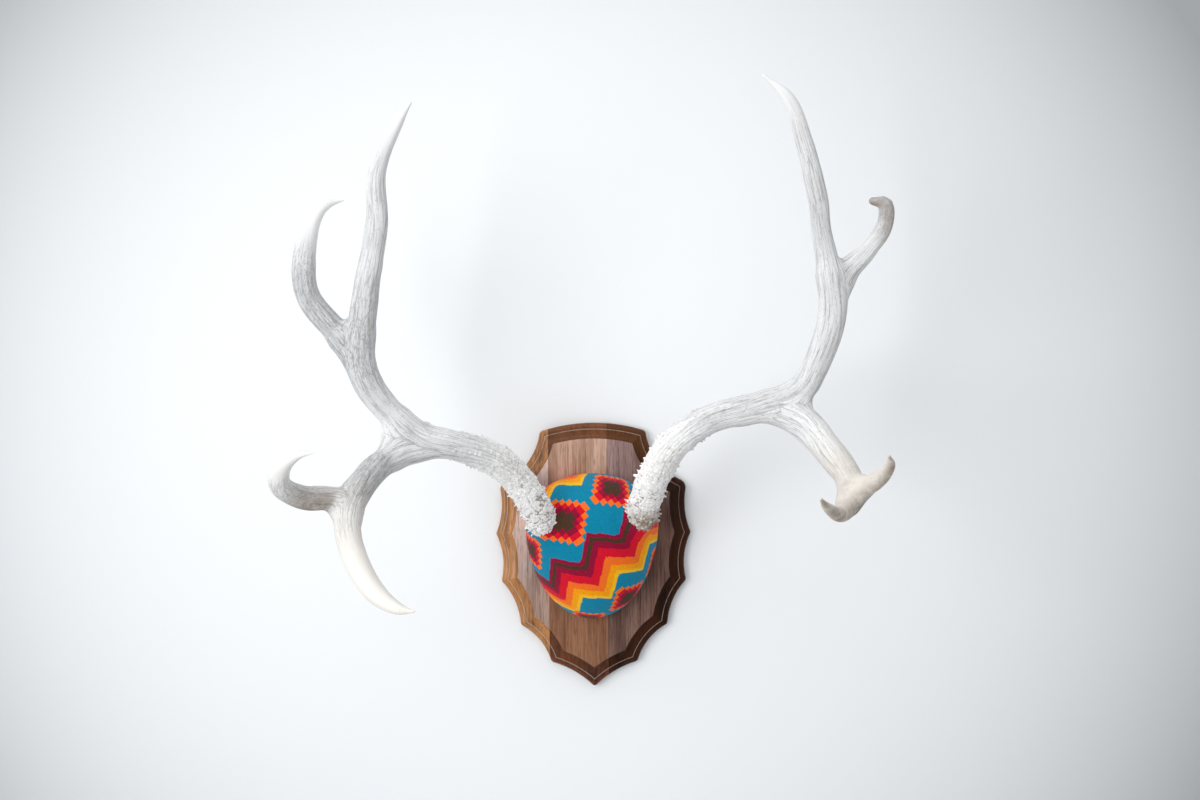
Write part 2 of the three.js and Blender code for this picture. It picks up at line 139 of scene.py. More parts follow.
def colour(code):
    """A colour by its hexadecimal code, as the linear values that a shader reads."""
    parts = [int(code[i : i + 2], 16) / 255 for i in (0, 2, 4)]
    return (*(p / 12.92 if p <= 0.04045 else ((p + 0.055) / 1.055) ** 2.4 for p in parts), 1.0)


def new_finish(name):
    material = bpy.data.materials.new(name)
    material.use_nodes = True
    material.node_tree.nodes.clear()
    return material, Value(material.node_tree)


def layered(ground, layers):
    """Lays colours over a ground, each where its mask is and as strong as it is."""
    for mask, code in layers:
        ground = mask.mix(ground, colour(code))
    return ground


def finish_with(start, values):
    """Ends a finish in a shader and the material's output."""
    shader = start.node("BsdfPrincipled", values)
    shader.node("OutputMaterial", {"Surface": shader})
    return shader


print("a red in linear values:", [round(v, 3) for v in colour("d20a23")])

# %% [markdown]
# ## Wall, floor and light
# A museum would hang the mount on a pale wall by a window. The wall and the floor are stage, not part of the
# object. The wall is seen only from its front, so that the plaque's back can be looked at from behind it,
# and it throws no shadow on that side. A broad light from the upper left is the window, and the pale room
# fills in the rest. The room is brighter on the window's side, which leaves the right of each limb in shade.
# The wall's colour is painted darker further from the mount, as painted shade for the window's light falling
# off towards the wall's corners.

# %% Put up the wall and the floor
ROOM_HALF, FLOOR_LEVEL, WALL_TOP = 4, -1.5, 2.6
WALL_PLANE = 0.0006  # a hair behind the plaque's back, so that the two surfaces don't fight
# where the wall's painted shade is centred, and how far out it reaches
FALL_OFF_FROM = (-0.015, 0.0, 0.13)
FALL_OFF_REACH = 0.805


def stage_sheet(name, corners):
    mesh = bpy.data.meshes.new(name)
    mesh.from_pydata(corners, [], [(0, 1, 2, 3)])
    sheet = bpy.data.objects.new(name, mesh)
    scene.collection.objects.link(sheet)
    return sheet


def wall_finish():
    material, start = new_finish("painted_wall")
    place = start.node("TexCoord", out=3)
    stipple = place.noise(260, detail=3)
    broad = place.noise(1.1, detail=1)
    spot = place.node("VectorMath", {0: place, 1: FALL_OFF_FROM}, operation="SUBTRACT")
    away = spot.node("VectorMath", {0: spot}, out=1, operation="LENGTH")
    tone = (broad * 0.2).mix(colour("eef0f2"), colour("e9edf1"))
    # painted shade: the wall's colour darkens away from the mount towards the corners, for the window's light
    # falling off
    tone = ((away / FALL_OFF_REACH) ** 3.2 * 0.56).least(0.6).mix(tone, colour("0c161f"))
    bump = stipple.bump(0.15, 0.0004)
    paint = start.node("BsdfPrincipled", {"Base Color": tone, "Roughness": 0.75, "Normal": bump})
    behind = start.node("NewGeometry", out=6)
    nothing = start.node("BsdfTransparent")
    both = behind.node("MixShader", {0: behind, 1: paint, 2: nothing})
    both.node("OutputMaterial", {"Surface": both})
    return material


def floor_finish():
    material, start = new_finish("pale_floor")
    mottle = start.node("TexCoord", out=3).noise(3.0, detail=4)
    finish_with(start, {"Base Color": mottle.mix(colour("e6e6e6"), colour("dadada")), "Roughness": 0.8})
    return material


low_left, low_right = (-ROOM_HALF, FLOOR_LEVEL), (ROOM_HALF, FLOOR_LEVEL)
high_right, high_left = (ROOM_HALF, WALL_TOP), (-ROOM_HALF, WALL_TOP)
wall = stage_sheet("wall", [(x, WALL_PLANE, z) for x, z in (low_left, low_right, high_right, high_left)])
wall.data.materials.append(wall_finish())
wall.visible_shadow = False
round_room = ((-1, -1), (1, -1), (1, 1), (-1, 1))
floor = stage_sheet("floor", [(x * ROOM_HALF, y * ROOM_HALF, FLOOR_LEVEL) for x, y in round_room])
floor.data.materials.append(floor_finish())
print("wall faces", [round(v, 2) for v in wall.data.polygons[0].normal])

# %% Hang the lights
DAYLIGHT, SKYLIGHT = (0.985, 0.993, 1.0), (1.0, 0.995, 0.99)
LIGHTS = [
    ("window", (-1.95, -2.2, 0.25), (0.0, 0.0, 0.1), (1.5, 1.9), 42, DAYLIGHT),
    ("high_window", (-1.4, -1.5, 2.0), (0.0, 0.0, 0.12), (1.6, 1.6), 9, DAYLIGHT),
    ("skylight", (0.3, -1.2, 2.3), (0.0, 0.0, 0.12), (2.0, 1.2), 11, SKYLIGHT),
]  # name, place, aim, width and height, watts and tint


def soft_light(name, place, aim, size, watts, tint):
    data = bpy.data.lights.new(name, "AREA")
    data.shape = "RECTANGLE"
    data.size, data.size_y = size
    data.energy = watts
    data.color = tint
    lamp = bpy.data.objects.new(name, data)
    scene.collection.objects.link(lamp)
    towards = Vector(aim) - Vector(place)
    lamp.matrix_world = Matrix.Translation(place) @ towards.to_track_quat("-Z", "Y").to_matrix().to_4x4()


for light in LIGHTS:
    soft_light(*light)
world = bpy.data.worlds.new("pale_room")
world.use_nodes = True
world.node_tree.nodes.clear()
room = Value(world.node_tree)
heading = room.node("TexCoord", out=0)
level = 0.65 - heading.part("X") * 0.08 + heading.part("Z") * 0.14
room = room.node("Background", {"Color": (0.98, 0.99, 1.0, 1), "Strength": level.most(0.05)})
room.node("OutputWorld", {"Surface": room})
scene.world = world
scene.view_settings.view_transform = "Standard"

# %% [markdown]
# ## The plaque's outline
# The shield has scalloped sides: hollow arcs that meet in cusps. Moving each arc in by the same amount and
# finding where neighbours cross gives the line of the moulding at any depth, with true mitres at the cusps,
# which scaling the outline would not. The outer corners are sanded round, the two shoulders most of all.

# %% Draw the shield at any inset
NECK_RISE = 9.4
CORNERS = [
    (59, 137, 10.4),
    (104.8, 79, 4.6),
    (108.6, 23.7, 4.8),
    (103.1, -29.1, 4.8),
    (81.7, -78.2, 5.4),
    (47.9, -119.6, 3.6),
]  # the right half's corners, x and z, and how far the arc to the next corner bows in
ROUNDINGS = [5.5, 9.5, 5.0, 5.0, 5.0, 5.0]  # how round each of these corners is
TIP = (0, -147.8)
TIP_ROUNDING = 3.4
MITRE = 0.35  # the rounding that is left where the moulding turns a corner inside
PLAQUE_THICKNESS = 19.0


def arc_between(start, end, bow):
    chord = end - start
    half = np.hypot(*chord) / 2
    radius = (half * half + bow * bow) / (2 * abs(bow))
    outward = np.array([-chord[1], chord[0]]) / (2 * half)
    centre = (start + end) / 2 + outward * math.copysign(radius - abs(bow), bow)
    return {"start": start, "centre": centre, "radius": radius, "hollow": bow > 0}


def shield_arcs():
    right = [np.array(corner[:2], float) for corner in CORNERS]
    left = [p * (-1, 1) for p in reversed(right)]
    points = [left[-1], *right, np.array(TIP, float), *left[:-1]]
    bows = [corner[2] for corner in CORNERS]
    bows = [-NECK_RISE, *bows, *reversed(bows)]
    made = [arc_between(start, end, bow) for start, end, bow in zip(points, points[1:] + points[:1], bows)]
    for arc, rounding in zip(made, [ROUNDINGS[0], *ROUNDINGS, TIP_ROUNDING, *ROUNDINGS[:0:-1]]):
        arc["rounding"] = rounding
    return made


def circles_meet(a, radius_a, b, radius_b, near):
    apart = np.hypot(*(b - a))
    along = (apart**2 + radius_a**2 - radius_b**2) / (2 * apart)
    aside = math.sqrt(max(0, radius_a**2 - along**2))
    line = (b - a) / apart
    foot = a + line * along
    across = np.array([-line[1], line[0]]) * aside
    return min((foot + across, foot - across), key=lambda p: np.hypot(*(p - near)))


def swept(centre, start, end, steps):
    """Points on a circle from one place to another, the short way round."""
    from_angle = math.atan2(*(start - centre)[::-1])
    turn = math.atan2(*(end - centre)[::-1]) - from_angle
    turn = math.atan2(math.sin(turn), math.cos(turn))
    angles = from_angle + turn * np.linspace(0, 1, steps + 1)
    return centre + np.hypot(*(start - centre)) * np.stack([np.cos(angles), np.sin(angles)], 1)


def shield_line(arcs, inset, side_steps=26, corner_steps=6):
    radius_at = lambda arc, depth: arc["radius"] + (depth if arc["hollow"] else -depth)
    bends = []
    for i, arc in enumerate(arcs):
        before = arcs[i - 1]
        depth = inset + max(arc["rounding"] - inset, MITRE)
        centre = circles_meet(
            before["centre"], radius_at(before, depth), arc["centre"], radius_at(arc, depth), arc["start"]
        )
        touch = lambda side: side["centre"] + (centre - side["centre"]) * (
            radius_at(side, inset) / np.hypot(*(centre - side["centre"]))
        )
        bends.append((centre, touch(before), touch(arc)))
    line = []
    for i, arc in enumerate(arcs):
        centre, enter, leave = bends[i]
        line += list(swept(centre, enter, leave, corner_steps))
        line += list(swept(arc["centre"], leave, bends[(i + 1) % len(bends)][1], side_steps))[1:-1]
    return np.array(line)


arcs = shield_arcs()
print("points in the shield's line:", len(shield_line(arcs, 0)))

# %% [markdown]
# ## The moulding
# A router left the same profile all round: a rounded bead, a thin step, and a hollow cove that climbs to the
# flat face. The step's edge carries a painted pale highlight in the walnut finish. The profile is a short list
# of inset and height, with the bead and the cove drawn as curves, and the rings of the shield's line at each
# inset make the skin.

# %% Turn the profile into the plaque's skin
BEAD_WIDE, BEAD_FOOT, BEAD_RISE = 5.9, 5.2, 5.7
COVE_INSET, COVE_FOOT, COVE_WIDE, COVE_RISE = 7.6, 12.85, 9.8, 5.85


def moulding_profile():
    """The inset and the height of each ring, in millimetres, from the back to the face."""
    foot = [(0.8, 0), (0.25, 0.3), (0, 1), (0, 3)]
    turn = np.linspace(0, math.pi / 2, 9)
    bead = [(BEAD_WIDE * (1 - math.cos(a)), BEAD_FOOT + BEAD_RISE * math.sin(a)) for a in turn]
    step = [(6.2, 10.9), (6.25, 11.9), (6.5, 12.35), (7.3, 12.4), (7.4, 12.8)]
    turn = np.linspace(0, math.pi / 2, 14)
    cove = [(COVE_INSET + COVE_WIDE * math.sin(a), COVE_FOOT + COVE_RISE * (1 - math.cos(a))) for a in turn]
    return foot + bead + step + cove + [(17.5, 18.85), (17.75, PLAQUE_THICKNESS)]


def closed_skin(rings):
    """Joins rings of points one to the next, and closes the first and the last."""
    bm = bmesh.new()
    rows = [[bm.verts.new(p) for p in ring] for ring in rings]
    for low, high in zip(rows, rows[1:]):
        for j in range(len(low)):
            k = (j + 1) % len(low)
            bm.faces.new((low[k], low[j], high[j], high[k]))
    bm.faces.new(rows[0])
    bm.faces.new(rows[-1][::-1])
    bmesh.ops.recalc_face_normals(bm, faces=bm.faces)
    return bm


def plaque_skin():
    rings = []
    for inset, height in moulding_profile():
        rings.append([(x * MM, -height * MM, z * MM) for x, z in shield_line(arcs, inset)[::-1]])
    return closed_skin(rings)


whole_plaque = plaque_skin()
print("plaque skin:", len(whole_plaque.faces), "faces,", len(moulding_profile()), "rings")

# %% [markdown]
# ## Walnut
# Three boards from three trees: a golden one on the left, a mid-brown one, and a dark one on the right. The
# boards' colours also hold painted light: the left board, on the window's side, is lighter, and the right
# board's moulding is darker as painted shade. The grain runs up the plaque. Walnut has broad growth bands,
# fine streaks, and open pores that look like short dark dashes. The flat face is paler and greyer than the
# moulding, partly from its rubbed finish and partly as a painted sheen, and the moulding is oiled and deeper,
# so the finish asks how high a point is over the wall. The face is painted lighter towards its top and left,
# and the moulding lighter on top, as painted light from the window and from above. Oil gives the moulding its
# bright lines, and the step's edge gets a painted pale highlight. Beside the burrs the wood is painted darker,
# as the antlers' shadow.
# Waves across a slowly varying field give the growth bands, and noise squeezed along the grain the streaks.

# %% Mix the walnut finishes
FACE_HEIGHTS, BACK_HEIGHTS = (0.0184, 0.0189), (0.0006, 0.0002)
EDGE_LOW, EDGE_HIGH = (0.0121, 0.0123), (0.0124, 0.0126)  # the step's edge, with its painted pale highlight, lies between these heights
PAINTED_SHADOWS = [(-0.057, 0.07, 0.01, 0.036), (0.082, 0.056, 0.012, 0.042)]  # x, z, where full and where gone
# The colours hold painted light as well as the boards' own tones: the faces' pale tops are a painted sheen,
# the left board is lighter on the window's side, and the right board's moulding is darker as painted shade.
WALNUT = {
    "left": ("walnut_golden", "e9d3cb b99c90 ad9285 7f665a b57b44 69401c", 0.3, 0.31),
    "middle": ("walnut_brown", "d6b29e a57f69 9d6f52 6e4832 703c1c 3a1b0a", 0.16, 1.17),
    "right": ("walnut_dark", "ab908b 7b605b 83665b 563f37 40200f 1b0b04", 0.06, 2.43),
}  # light and dark for the face's top, its foot and the moulding, then the gloss and the shift of the grain


def walnut_finish(name, face_light, face_dark, low_light, low_dark, edge_light, edge_dark, gloss, shift):
    material, start = new_finish(name)
    place = start.node("TexCoord", out=3)
    place = place.node("VectorMath", {0: place, 1: (shift, shift * 0.7, shift * 1.3)}, operation="ADD")
    drift = place.noise(6.0, detail=2)
    across = place.part("X") * 34.0 + place.part("Y") * 21.0 + drift * 5.0
    bands = (across.sum("SINE", across * 4.1) * 0.5 + 0.5) ** 1.4
    streaks = place.stretched(1.0, 1.0, 0.028).noise(420, detail=4, roughness=0.65)
    wide_streaks = place.stretched(1.0, 1.0, 0.04).noise(95, detail=3, roughness=0.6)
    pores = place.stretched(1.0, 1.0, 0.07).noise(1050, detail=1).between(0.56, 0.68)
    long_pores = place.stretched(1.0, 1.0, 0.035).noise(640, detail=2).between(0.58, 0.68)
    darkness = bands * 0.28 + streaks.between(0.3, 0.72) * 0.42 + wide_streaks.between(0.32, 0.7) * 0.45
    own = start.node("TexCoord", out=3)
    height = own.part("Y") * -1.0
    on_face = height.between(*FACE_HEIGHTS).most(height.between(*BACK_HEIGHTS))
    # painted sheen and light: the face takes paler, greyer colours than the moulding, and goes from its foot's
    # colours to the lighter top ones towards the top and the left
    painted_face_light = (own.part("Z") + own.part("X") * -0.35).between(-0.06, 0.13)
    light = on_face.mix(edge_light, painted_face_light.mix(low_light, face_light))
    dark = on_face.mix(edge_dark, painted_face_light.mix(low_dark, face_dark))
    wood = darkness.between(0.1, 1.0).mix(light, dark)
    # painted light: the moulding is lighter on top, as light from above
    painted_top_light = own.part("Z").between(0.08, 0.125) * (1 - on_face)
    # painted highlight: a pale line along the step's edge
    painted_edge_highlight = height.between(*EDGE_LOW) * (1 - height.between(*EDGE_HIGH))
    wood = layered(wood, [(painted_top_light * 0.22, "a0683f"), (painted_edge_highlight * (0.38 + gloss), "b9aea4")])
    # painted shadow: the wood is darker beside each burr, where the antlers shade it
    for x, z, near, far in PAINTED_SHADOWS:
        aside, above = own.part("X") - x, own.part("Z") - z
        away = (aside * aside + above * above) ** 0.5
        wood = layered(wood, [(away.between(far, near) * 0.5, "17100d")])
    wood = layered(wood, [(pores * 0.4, "3a241a"), (long_pores * 0.45, "33201a")])
    relief = streaks * 0.4 - pores * 0.7 - long_pores
    bump = relief.bump(0.35, 0.00035)
    roughness = on_face.mix_values(streaks * 0.12 + 0.28, streaks * 0.14 + 0.44)
    values = {"Base Color": wood, "Roughness": roughness, "Normal": bump, "Specular IOR Level": gloss}
    finish_with(start, {**values, "Coat Weight": (1 - on_face) * gloss * 0.8, "Coat Roughness": 0.12})
    return material


walnut = {
    side: walnut_finish(name, *map(colour, codes.split()), gloss, shift)
    for side, (name, codes, gloss, shift) in WALNUT.items()
}
print("walnut finishes:", [m.name for m in walnut.values()])

# %% [markdown]
# ## Three glued boards
# The plaque was glued from three boards before it was cut to shape, so the moulding runs on over the two glue
# lines. The whole skin is cut by upright planes at the glue lines, which keeps it in line. The middle board's
# back has a shallow pocket for the hanger and the screw holes, cut as a difference of solids.

# %% Cut the boards
GLUE_LINES = (-49.5, 15.5)
GLUE_LINE_HALF = 0.03


def object_from(bm, name):
    mesh = bpy.data.meshes.new(name)
    bm.to_mesh(mesh)
    bm.free()
    piece = bpy.data.objects.new(name, mesh)
    scene.collection.objects.link(piece)
    return piece


def cut_off(bm, x, keep_right):
    """Drops what is on one side of an upright plane, and closes the cut."""
    everything = bm.verts[:] + bm.edges[:] + bm.faces[:]
    side = {"clear_inner": keep_right, "clear_outer": not keep_right}
    cut = bmesh.ops.bisect_plane(bm, geom=everything, plane_co=(x * MM, 0, 0), plane_no=(1, 0, 0), **side)
    rim = [g for g in cut["geom_cut"] if isinstance(g, bmesh.types.BMEdge)]
    bmesh.ops.holes_fill(bm, edges=rim)


def board(name, low, high):
    bm = whole_plaque.copy()
    if low is not None:
        cut_off(bm, low + GLUE_LINE_HALF, True)
    if high is not None:
        cut_off(bm, high - GLUE_LINE_HALF, False)
    bmesh.ops.recalc_face_normals(bm, faces=bm.faces)
    return object_from(bm, name)


boards = {
    "left": board("plaque_board_left", None, GLUE_LINES[0]),
    "middle": board("plaque_board_middle", *GLUE_LINES),
    "right": board("plaque_board_right", GLUE_LINES[1], None),
}
whole_plaque.free()
print({side: len(piece.data.polygons) for side, piece in boards.items()})

# %% Cut the pocket and the screw holes in the middle board's back
POCKET = {"x": -17, "z": 92, "width": 56, "height": 24, "depth": 2.6}
BIT_RADIUS = 3.0
SCREW_PLACES = ((-17, 55), (-34, -16), (2, -16))
HOLE_RINGS = ((4.7, -1.0), (4.7, 0.6), (2.5, 3.2), (2.5, 7.3))  # radius and depth


def pocket_cutter(x, z, width, height, depth):
    """A block with rounded upright corners, as a router bit leaves them."""
    line = []
    for sx, sz, start in ((1, 1, 0), (-1, 1, 90), (-1, -1, 180), (1, -1, 270)):
        centre = (x + sx * (width / 2 - BIT_RADIUS), z + sz * (height / 2 - BIT_RADIUS))
        for angle in np.radians(np.linspace(start, start + 90, 7)):
            line.append((centre[0] + BIT_RADIUS * math.cos(angle), centre[1] + BIT_RADIUS * math.sin(angle)))
    rings = [[(px * MM, y * MM, pz * MM) for px, pz in line] for y in (1.0, -depth)]
    return object_from(closed_skin(rings), "pocket_cutter")


def hole_cutter(x, z):
    rings = []
    turn = np.linspace(0, 2 * math.pi, 33)[:-1]
    for radius, depth in HOLE_RINGS:
        line = [(x + radius * math.cos(a), z + radius * math.sin(a)) for a in turn]
        rings.append([(px * MM, -depth * MM, pz * MM) for px, pz in line])
    return object_from(closed_skin(rings), "hole_cutter")


def settle(piece):
    """Makes the shape that a piece's modifiers give its own mesh."""
    shaped = bpy.data.meshes.new_from_object(piece.evaluated_get(bpy.context.evaluated_depsgraph_get()))
    piece.modifiers.clear()
    piece.data = shaped


cutters = [pocket_cutter(**POCKET)] + [hole_cutter(x, z) for x, z in SCREW_PLACES]
for cutter in cutters:
    cut = boards["middle"].modifiers.new("cut", "BOOLEAN")
    cut.operation = "DIFFERENCE"
    cut.object = cutter
settle(boards["middle"])
for cutter in cutters:
    bpy.data.objects.remove(cutter)
for side, piece in boards.items():
    piece.data.materials.clear()
    piece.data.materials.append(walnut[side])
    piece.data.shade_smooth()
    piece.data.set_sharp_from_angle(angle=math.radians(28))
    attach(piece, "root")
    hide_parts("plaque_stave_" + side)
print("middle board:", len(boards["middle"].data.polygons), "faces")

# %% [markdown]
# ## Steel on the back
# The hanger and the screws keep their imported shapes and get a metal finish. Zinc-plated steel is a warm grey
# with faint rub marks, so a stretched noise varies how rough it is.

# %% Finish the steel
def steel_finish():
    material, start = new_finish("plated_steel")
    place = start.node("TexCoord", out=3)
    rubs = place.stretched(1.0, 1.0, 0.1).noise(1500, detail=3)
    clouds = place.noise(160, detail=2)
    tone = clouds.mix(colour("b8ad93"), colour("8f866f"))
    bump = rubs.bump(0.2, 0.0001)
    finish_with(start, {"Base Color": tone, "Metallic": 1.0, "Roughness": rubs * 0.25 + 0.22, "Normal": bump})
    return material


steel = steel_finish()
fixings = [node for name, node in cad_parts.items() if name.startswith(("hanger", "plate_screw"))]
for node in fixings:
    for holder in node.material_slots:
        holder.material = steel
print("steel pieces:", len(fixings))

# %% [markdown]
# ## The antlers' limbs
# Each limb is a smooth line through a few stations with a radius at each, the same ones that the solids are
# made from. A curve that weighs its knots by the root of their distance doesn't overshoot where stations are
# close together, so the tips hook without a wobble. Each limb is kept as a row of samples a millimetre apart.
# A station is x, y, z and the radius. A fork names its two limbs, how far apart their skins are at the end of
# the web of bone, and how far the web stops short. The fill is more bone in the first fork, and the spurs are
# the burr's longest knobs.

# %% The stations
ANTLERS = {
    "left": {
        "seed": 11,
        "main": [
            (-44, -42, 28, 16), (-54, -66, 41, 17), (-62, -82, 60, 17), (-86, -101, 96, 17.2),
            (-109, -117, 114, 17), (-146, -141, 127, 15.3), (-177, -149, 136, 15.4), (-206, -158, 161, 14.2),
            (-229, -169, 194, 15), (-234, -175, 227, 14.3), (-226, -186, 282, 13.1), (-213, -198, 352, 11.1),
            (-211, -206, 402, 8.9), (-189, -214, 449, 5.9), (-176, -217, 467, 1.6),
        ],
        "front": [
            (-160, -144, 125, 12), (-203, -162, 116, 13.8), (-229, -192, 89, 13), (-241, -222, 53, 13.3),
            (-228, -250, 16, 12), (-207, -272, -11, 10.3), (-184, -288, -24, 5.9), (-168, -296, -26, 1.4),
        ],
        "backOuter": [
            (-227, -167, 192, 12), (-243, -172, 225, 13.4), (-256, -173, 241, 13.2), (-285, -182, 279, 12.1),
            (-287, -192, 315, 11.6), (-275, -198, 358, 8.1), (-264, -197, 369, 5.3), (-247, -193, 374, 1),
        ],
        "frontOuter": [
            (-236, -208, 62, 10.5), (-257, -214, 75.5, 12.3), (-283, -236, 79, 11.7), (-301, -254, 92, 10.7),
            (-299, -264, 108, 9.8), (-282, -278, 121, 5.5), (-263, -286, 124, 1),
        ],
        "forks": [
            ("main", "front", 12, 0.35), ("main", "backOuter", 2, 0.7), ("front", "frontOuter", 9, 1.5),
        ],
        "fill": [
            (-216, -180, 108, 12), (-222, -188, 101, 12), (-231, -196, 90, 12), (-242, -209, 77.5, 11.5),
        ],
        "spurs": [((-42, -60, 44), (-36, -58, 47), 3.2), ((-58, -58, 26), (-60, -55, 18), 3.2)],
    },
    "right": {
        "seed": 29,
        "main": [
            (44, -44, 32, 16), (52, -68, 47, 17), (57, -84, 66, 17.2), (64, -100, 88, 17.2),
            (86, -121, 125, 16.7), (119, -137, 149, 15), (175, -149, 165, 14.6), (213, -155, 179, 13.8),
            (232, -164, 211, 13.8), (245, -175, 260, 14.4), (239, -184, 308, 11.8), (232, -190, 343, 9.9),
            (229, -196, 368, 10.2), (214, -207, 426, 8.7), (198, -214, 468, 6.5), (173, -218, 491, 1.7),
        ],
        "front": [
            (184, -149, 165, 12), (217, -162, 150, 13.3), (240, -190, 119, 13.3), (254, -218, 90, 13.8),
            (252, -234, 74, 12), (237, -275, 61, 8.2), (218, -314, 71, 4.4), (212, -326, 78, 1.8),
        ],
        "backOuter": [
            (243, -172, 259, 11.5), (256, -175, 295, 12.8), (280, -178, 320, 9.5), (297, -184, 345, 8.2),
            (297, -187, 366, 7.4), (285, -186, 369.5, 4.0),
        ],
        "frontOuter": [
            (251, -210, 98, 10.5), (260, -238, 85, 10.7), (274, -274, 94, 8.1), (280, -304, 109, 4.7),
            (277, -315, 117, 1.6),
        ],
        "forks": [("main", "front", 7, 0.9), ("main", "backOuter", 2, 1.1), ("front", "frontOuter", 8, 0.9)],
        "fill": [
            (150, -144, 156, 12.5), (177, -149, 161.2, 13.6), (203, -154, 152.6, 13), (223, -163, 137, 12.5),
            (238, -189, 118, 13.0), (248, -208, 102, 12.0),
        ],
        "spurs": [((45, -66, 58), (34, -63, 62.5), 4.0), ((46, -64, 50), (38.5, -62, 53), 3.4)],
    },
}
LIMBS = ("main", "front", "backOuter", "frontOuter")
BURR_FROM = 22.0  # along the main limb, where the antler leaves the wool
print({side: sum(len(a[limb]) for limb in LIMBS) for side, a in ANTLERS.items()}, "stations")

# %% Sample a limb
def unit(vectors):
    return vectors / np.linalg.norm(vectors, axis=-1, keepdims=True)


class Limb:
    """A limb as samples a millimetre apart: place, heading, radius, and two directions across it."""

    def __init__(self, stations):
        knots = np.array(stations, float)
        pieces = []
        for i in range(len(knots) - 1):
            b, c = knots[i], knots[i + 1]
            a = knots[i - 1] if i else 2 * b - c
            d = knots[i + 2] if i + 2 < len(knots) else 2 * c - b
            gaps = [np.linalg.norm((q - p)[:3]) ** 0.5 for p, q in ((a, b), (b, c), (c, d))]
            leave = ((b - a) / gaps[0] - (c - a) / (gaps[0] + gaps[1]) + (c - b) / gaps[1]) * gaps[1]
            arrive = ((c - b) / gaps[1] - (d - b) / (gaps[1] + gaps[2]) + (d - c) / gaps[2]) * gaps[1]
            before = knots[i - 1] if i else b
            after = knots[i + 2] if i + 2 < len(knots) else c
            leave[3], arrive[3] = (c[3] - before[3]) / 2, (after[3] - b[3]) / 2
            t = np.linspace(0, 1, 80, endpoint=i + 2 == len(knots))[:, None]
            bend, twist = 3 * (c - b) - 2 * leave - arrive, 2 * (b - c) + leave + arrive
            pieces.append(b + leave * t + bend * t**2 + twist * t**3)
        fine = np.concatenate(pieces)
        run = np.concatenate([[0], np.cumsum(np.linalg.norm(np.diff(fine[:, :3], axis=0), axis=1))])
        self.length = run[-1]
        self.run = np.linspace(0, self.length, int(self.length) + 1)
        samples = np.stack([np.interp(self.run, run, fine[:, k]) for k in range(4)], 1)
        self.place, self.radius = samples[:, :3], samples[:, 3]
        self.heading = unit(np.gradient(self.place, axis=0))
        across = [np.array([0.0, -1.0, 0.0])]
        for heading in self.heading:
            across.append(unit(across[-1] - heading * np.dot(across[-1], heading)))
        self.across = np.array(across[1:])
        self.beside = np.cross(self.heading, self.across)

    def nearest(self, points):
        """For each point, the sample whose skin is nearest, and how far that skin is."""
        middle = self.place.mean(0)
        centres = (self.place - middle).astype(np.float32)
        best, apart = [], []
        for chunk in np.array_split((points - middle).astype(np.float32), max(1, len(points) // 20000)):
            squares = (chunk**2).sum(1)[:, None] + (centres**2).sum(1)[None] - 2 * chunk @ centres.T
            gaps = np.sqrt(np.maximum(squares, 0)) - self.radius.astype(np.float32)
            best.append(gaps.argmin(1))
            apart.append(gaps.min(1))
        return np.concatenate(best), np.concatenate(apart)


limbs = {side: {name: Limb(antler[name]) for name in LIMBS} for side, antler in ANTLERS.items()}
print({side: {name: round(limb.length) for name, limb in row.items()} for side, row in limbs.items()})

# %% [markdown]
# ## A skin round a field
# Limbs that flow into each other are hard to model as joined tubes. It is easier to work out, at each point
# of a fine grid, how far that point is from the bone, because two distances can be blended into one with a
# soft fillet. Where the distance is zero there is a skin: one vertex goes into each small cube that the
# skin crosses, at the middle of its crossings, and neighbouring cubes are joined by four-sided faces.

# %% Fields of distance
class Field:
    """How far each point of a grid is from a skin, in millimetres, and below zero inside it."""

    def __init__(self, low, high, step):
        self.step = step
        self.low = np.floor(np.array(low, float) / step) * step
        self.count = np.ceil((np.array(high, float) - self.low) / step).astype(int) + 1
        self.values = np.full(self.count, 50.0, np.float32)

    def empty_twin(self):
        """An empty field on the same grid."""
        twin = Field(self.low, self.low, self.step)
        twin.low, twin.count, twin.values = self.low, self.count, np.full(self.count, 50.0, np.float32)
        return twin

    def window(self, low, high):
        first = np.clip(np.floor((low - self.low) / self.step).astype(int), 0, self.count)
        last = np.clip(np.ceil((high - self.low) / self.step).astype(int) + 1, 0, self.count)
        slices = tuple(slice(a, b) for a, b in zip(first, last))
        axes = [(self.low[k] + self.step * np.arange(first[k], last[k])).astype(np.float32) for k in range(3)]
        return slices, np.meshgrid(*axes, indexing="ij", sparse=True)

    def rod(self, a, b, radius_a, radius_b, reach, fillet=0.0):
        """Joins in a rod with round ends. Reach is how far from its skin the distances are worked out."""
        wide = max(radius_a, radius_b) + reach
        slices, (x, y, z) = self.window(np.minimum(a, b) - wide, np.maximum(a, b) + wide)
        span = (b - a).astype(np.float32)
        x, y, z = x - np.float32(a[0]), y - np.float32(a[1]), z - np.float32(a[2])
        share = np.clip((x * span[0] + y * span[1] + z * span[2]) / max(float(span @ span), 1e-6), 0, 1)
        off = (x - share * span[0]) ** 2 + (y - share * span[1]) ** 2 + (z - share * span[2]) ** 2
        found = np.sqrt(off) - (radius_a + (radius_b - radius_a) * share).astype(np.float32)
        self.values[slices] = soft_least(self.values[slices], found, fillet)

    def join(self, other, fillet):
        first = np.round((other.low - self.low) / self.step).astype(int)
        slices = tuple(slice(a, a + n) for a, n in zip(first, other.count))
        self.values[slices] = soft_least(self.values[slices], other.values, fillet)


def soft_least(a, b, fillet):
    """The lesser of two distances, with a fillet where they are alike."""
    if not fillet:
        return np.minimum(a, b)
    alike = np.maximum(fillet - np.abs(a - b), 0) / fillet
    return np.minimum(a, b) - alike * alike * np.float32(fillet / 4)


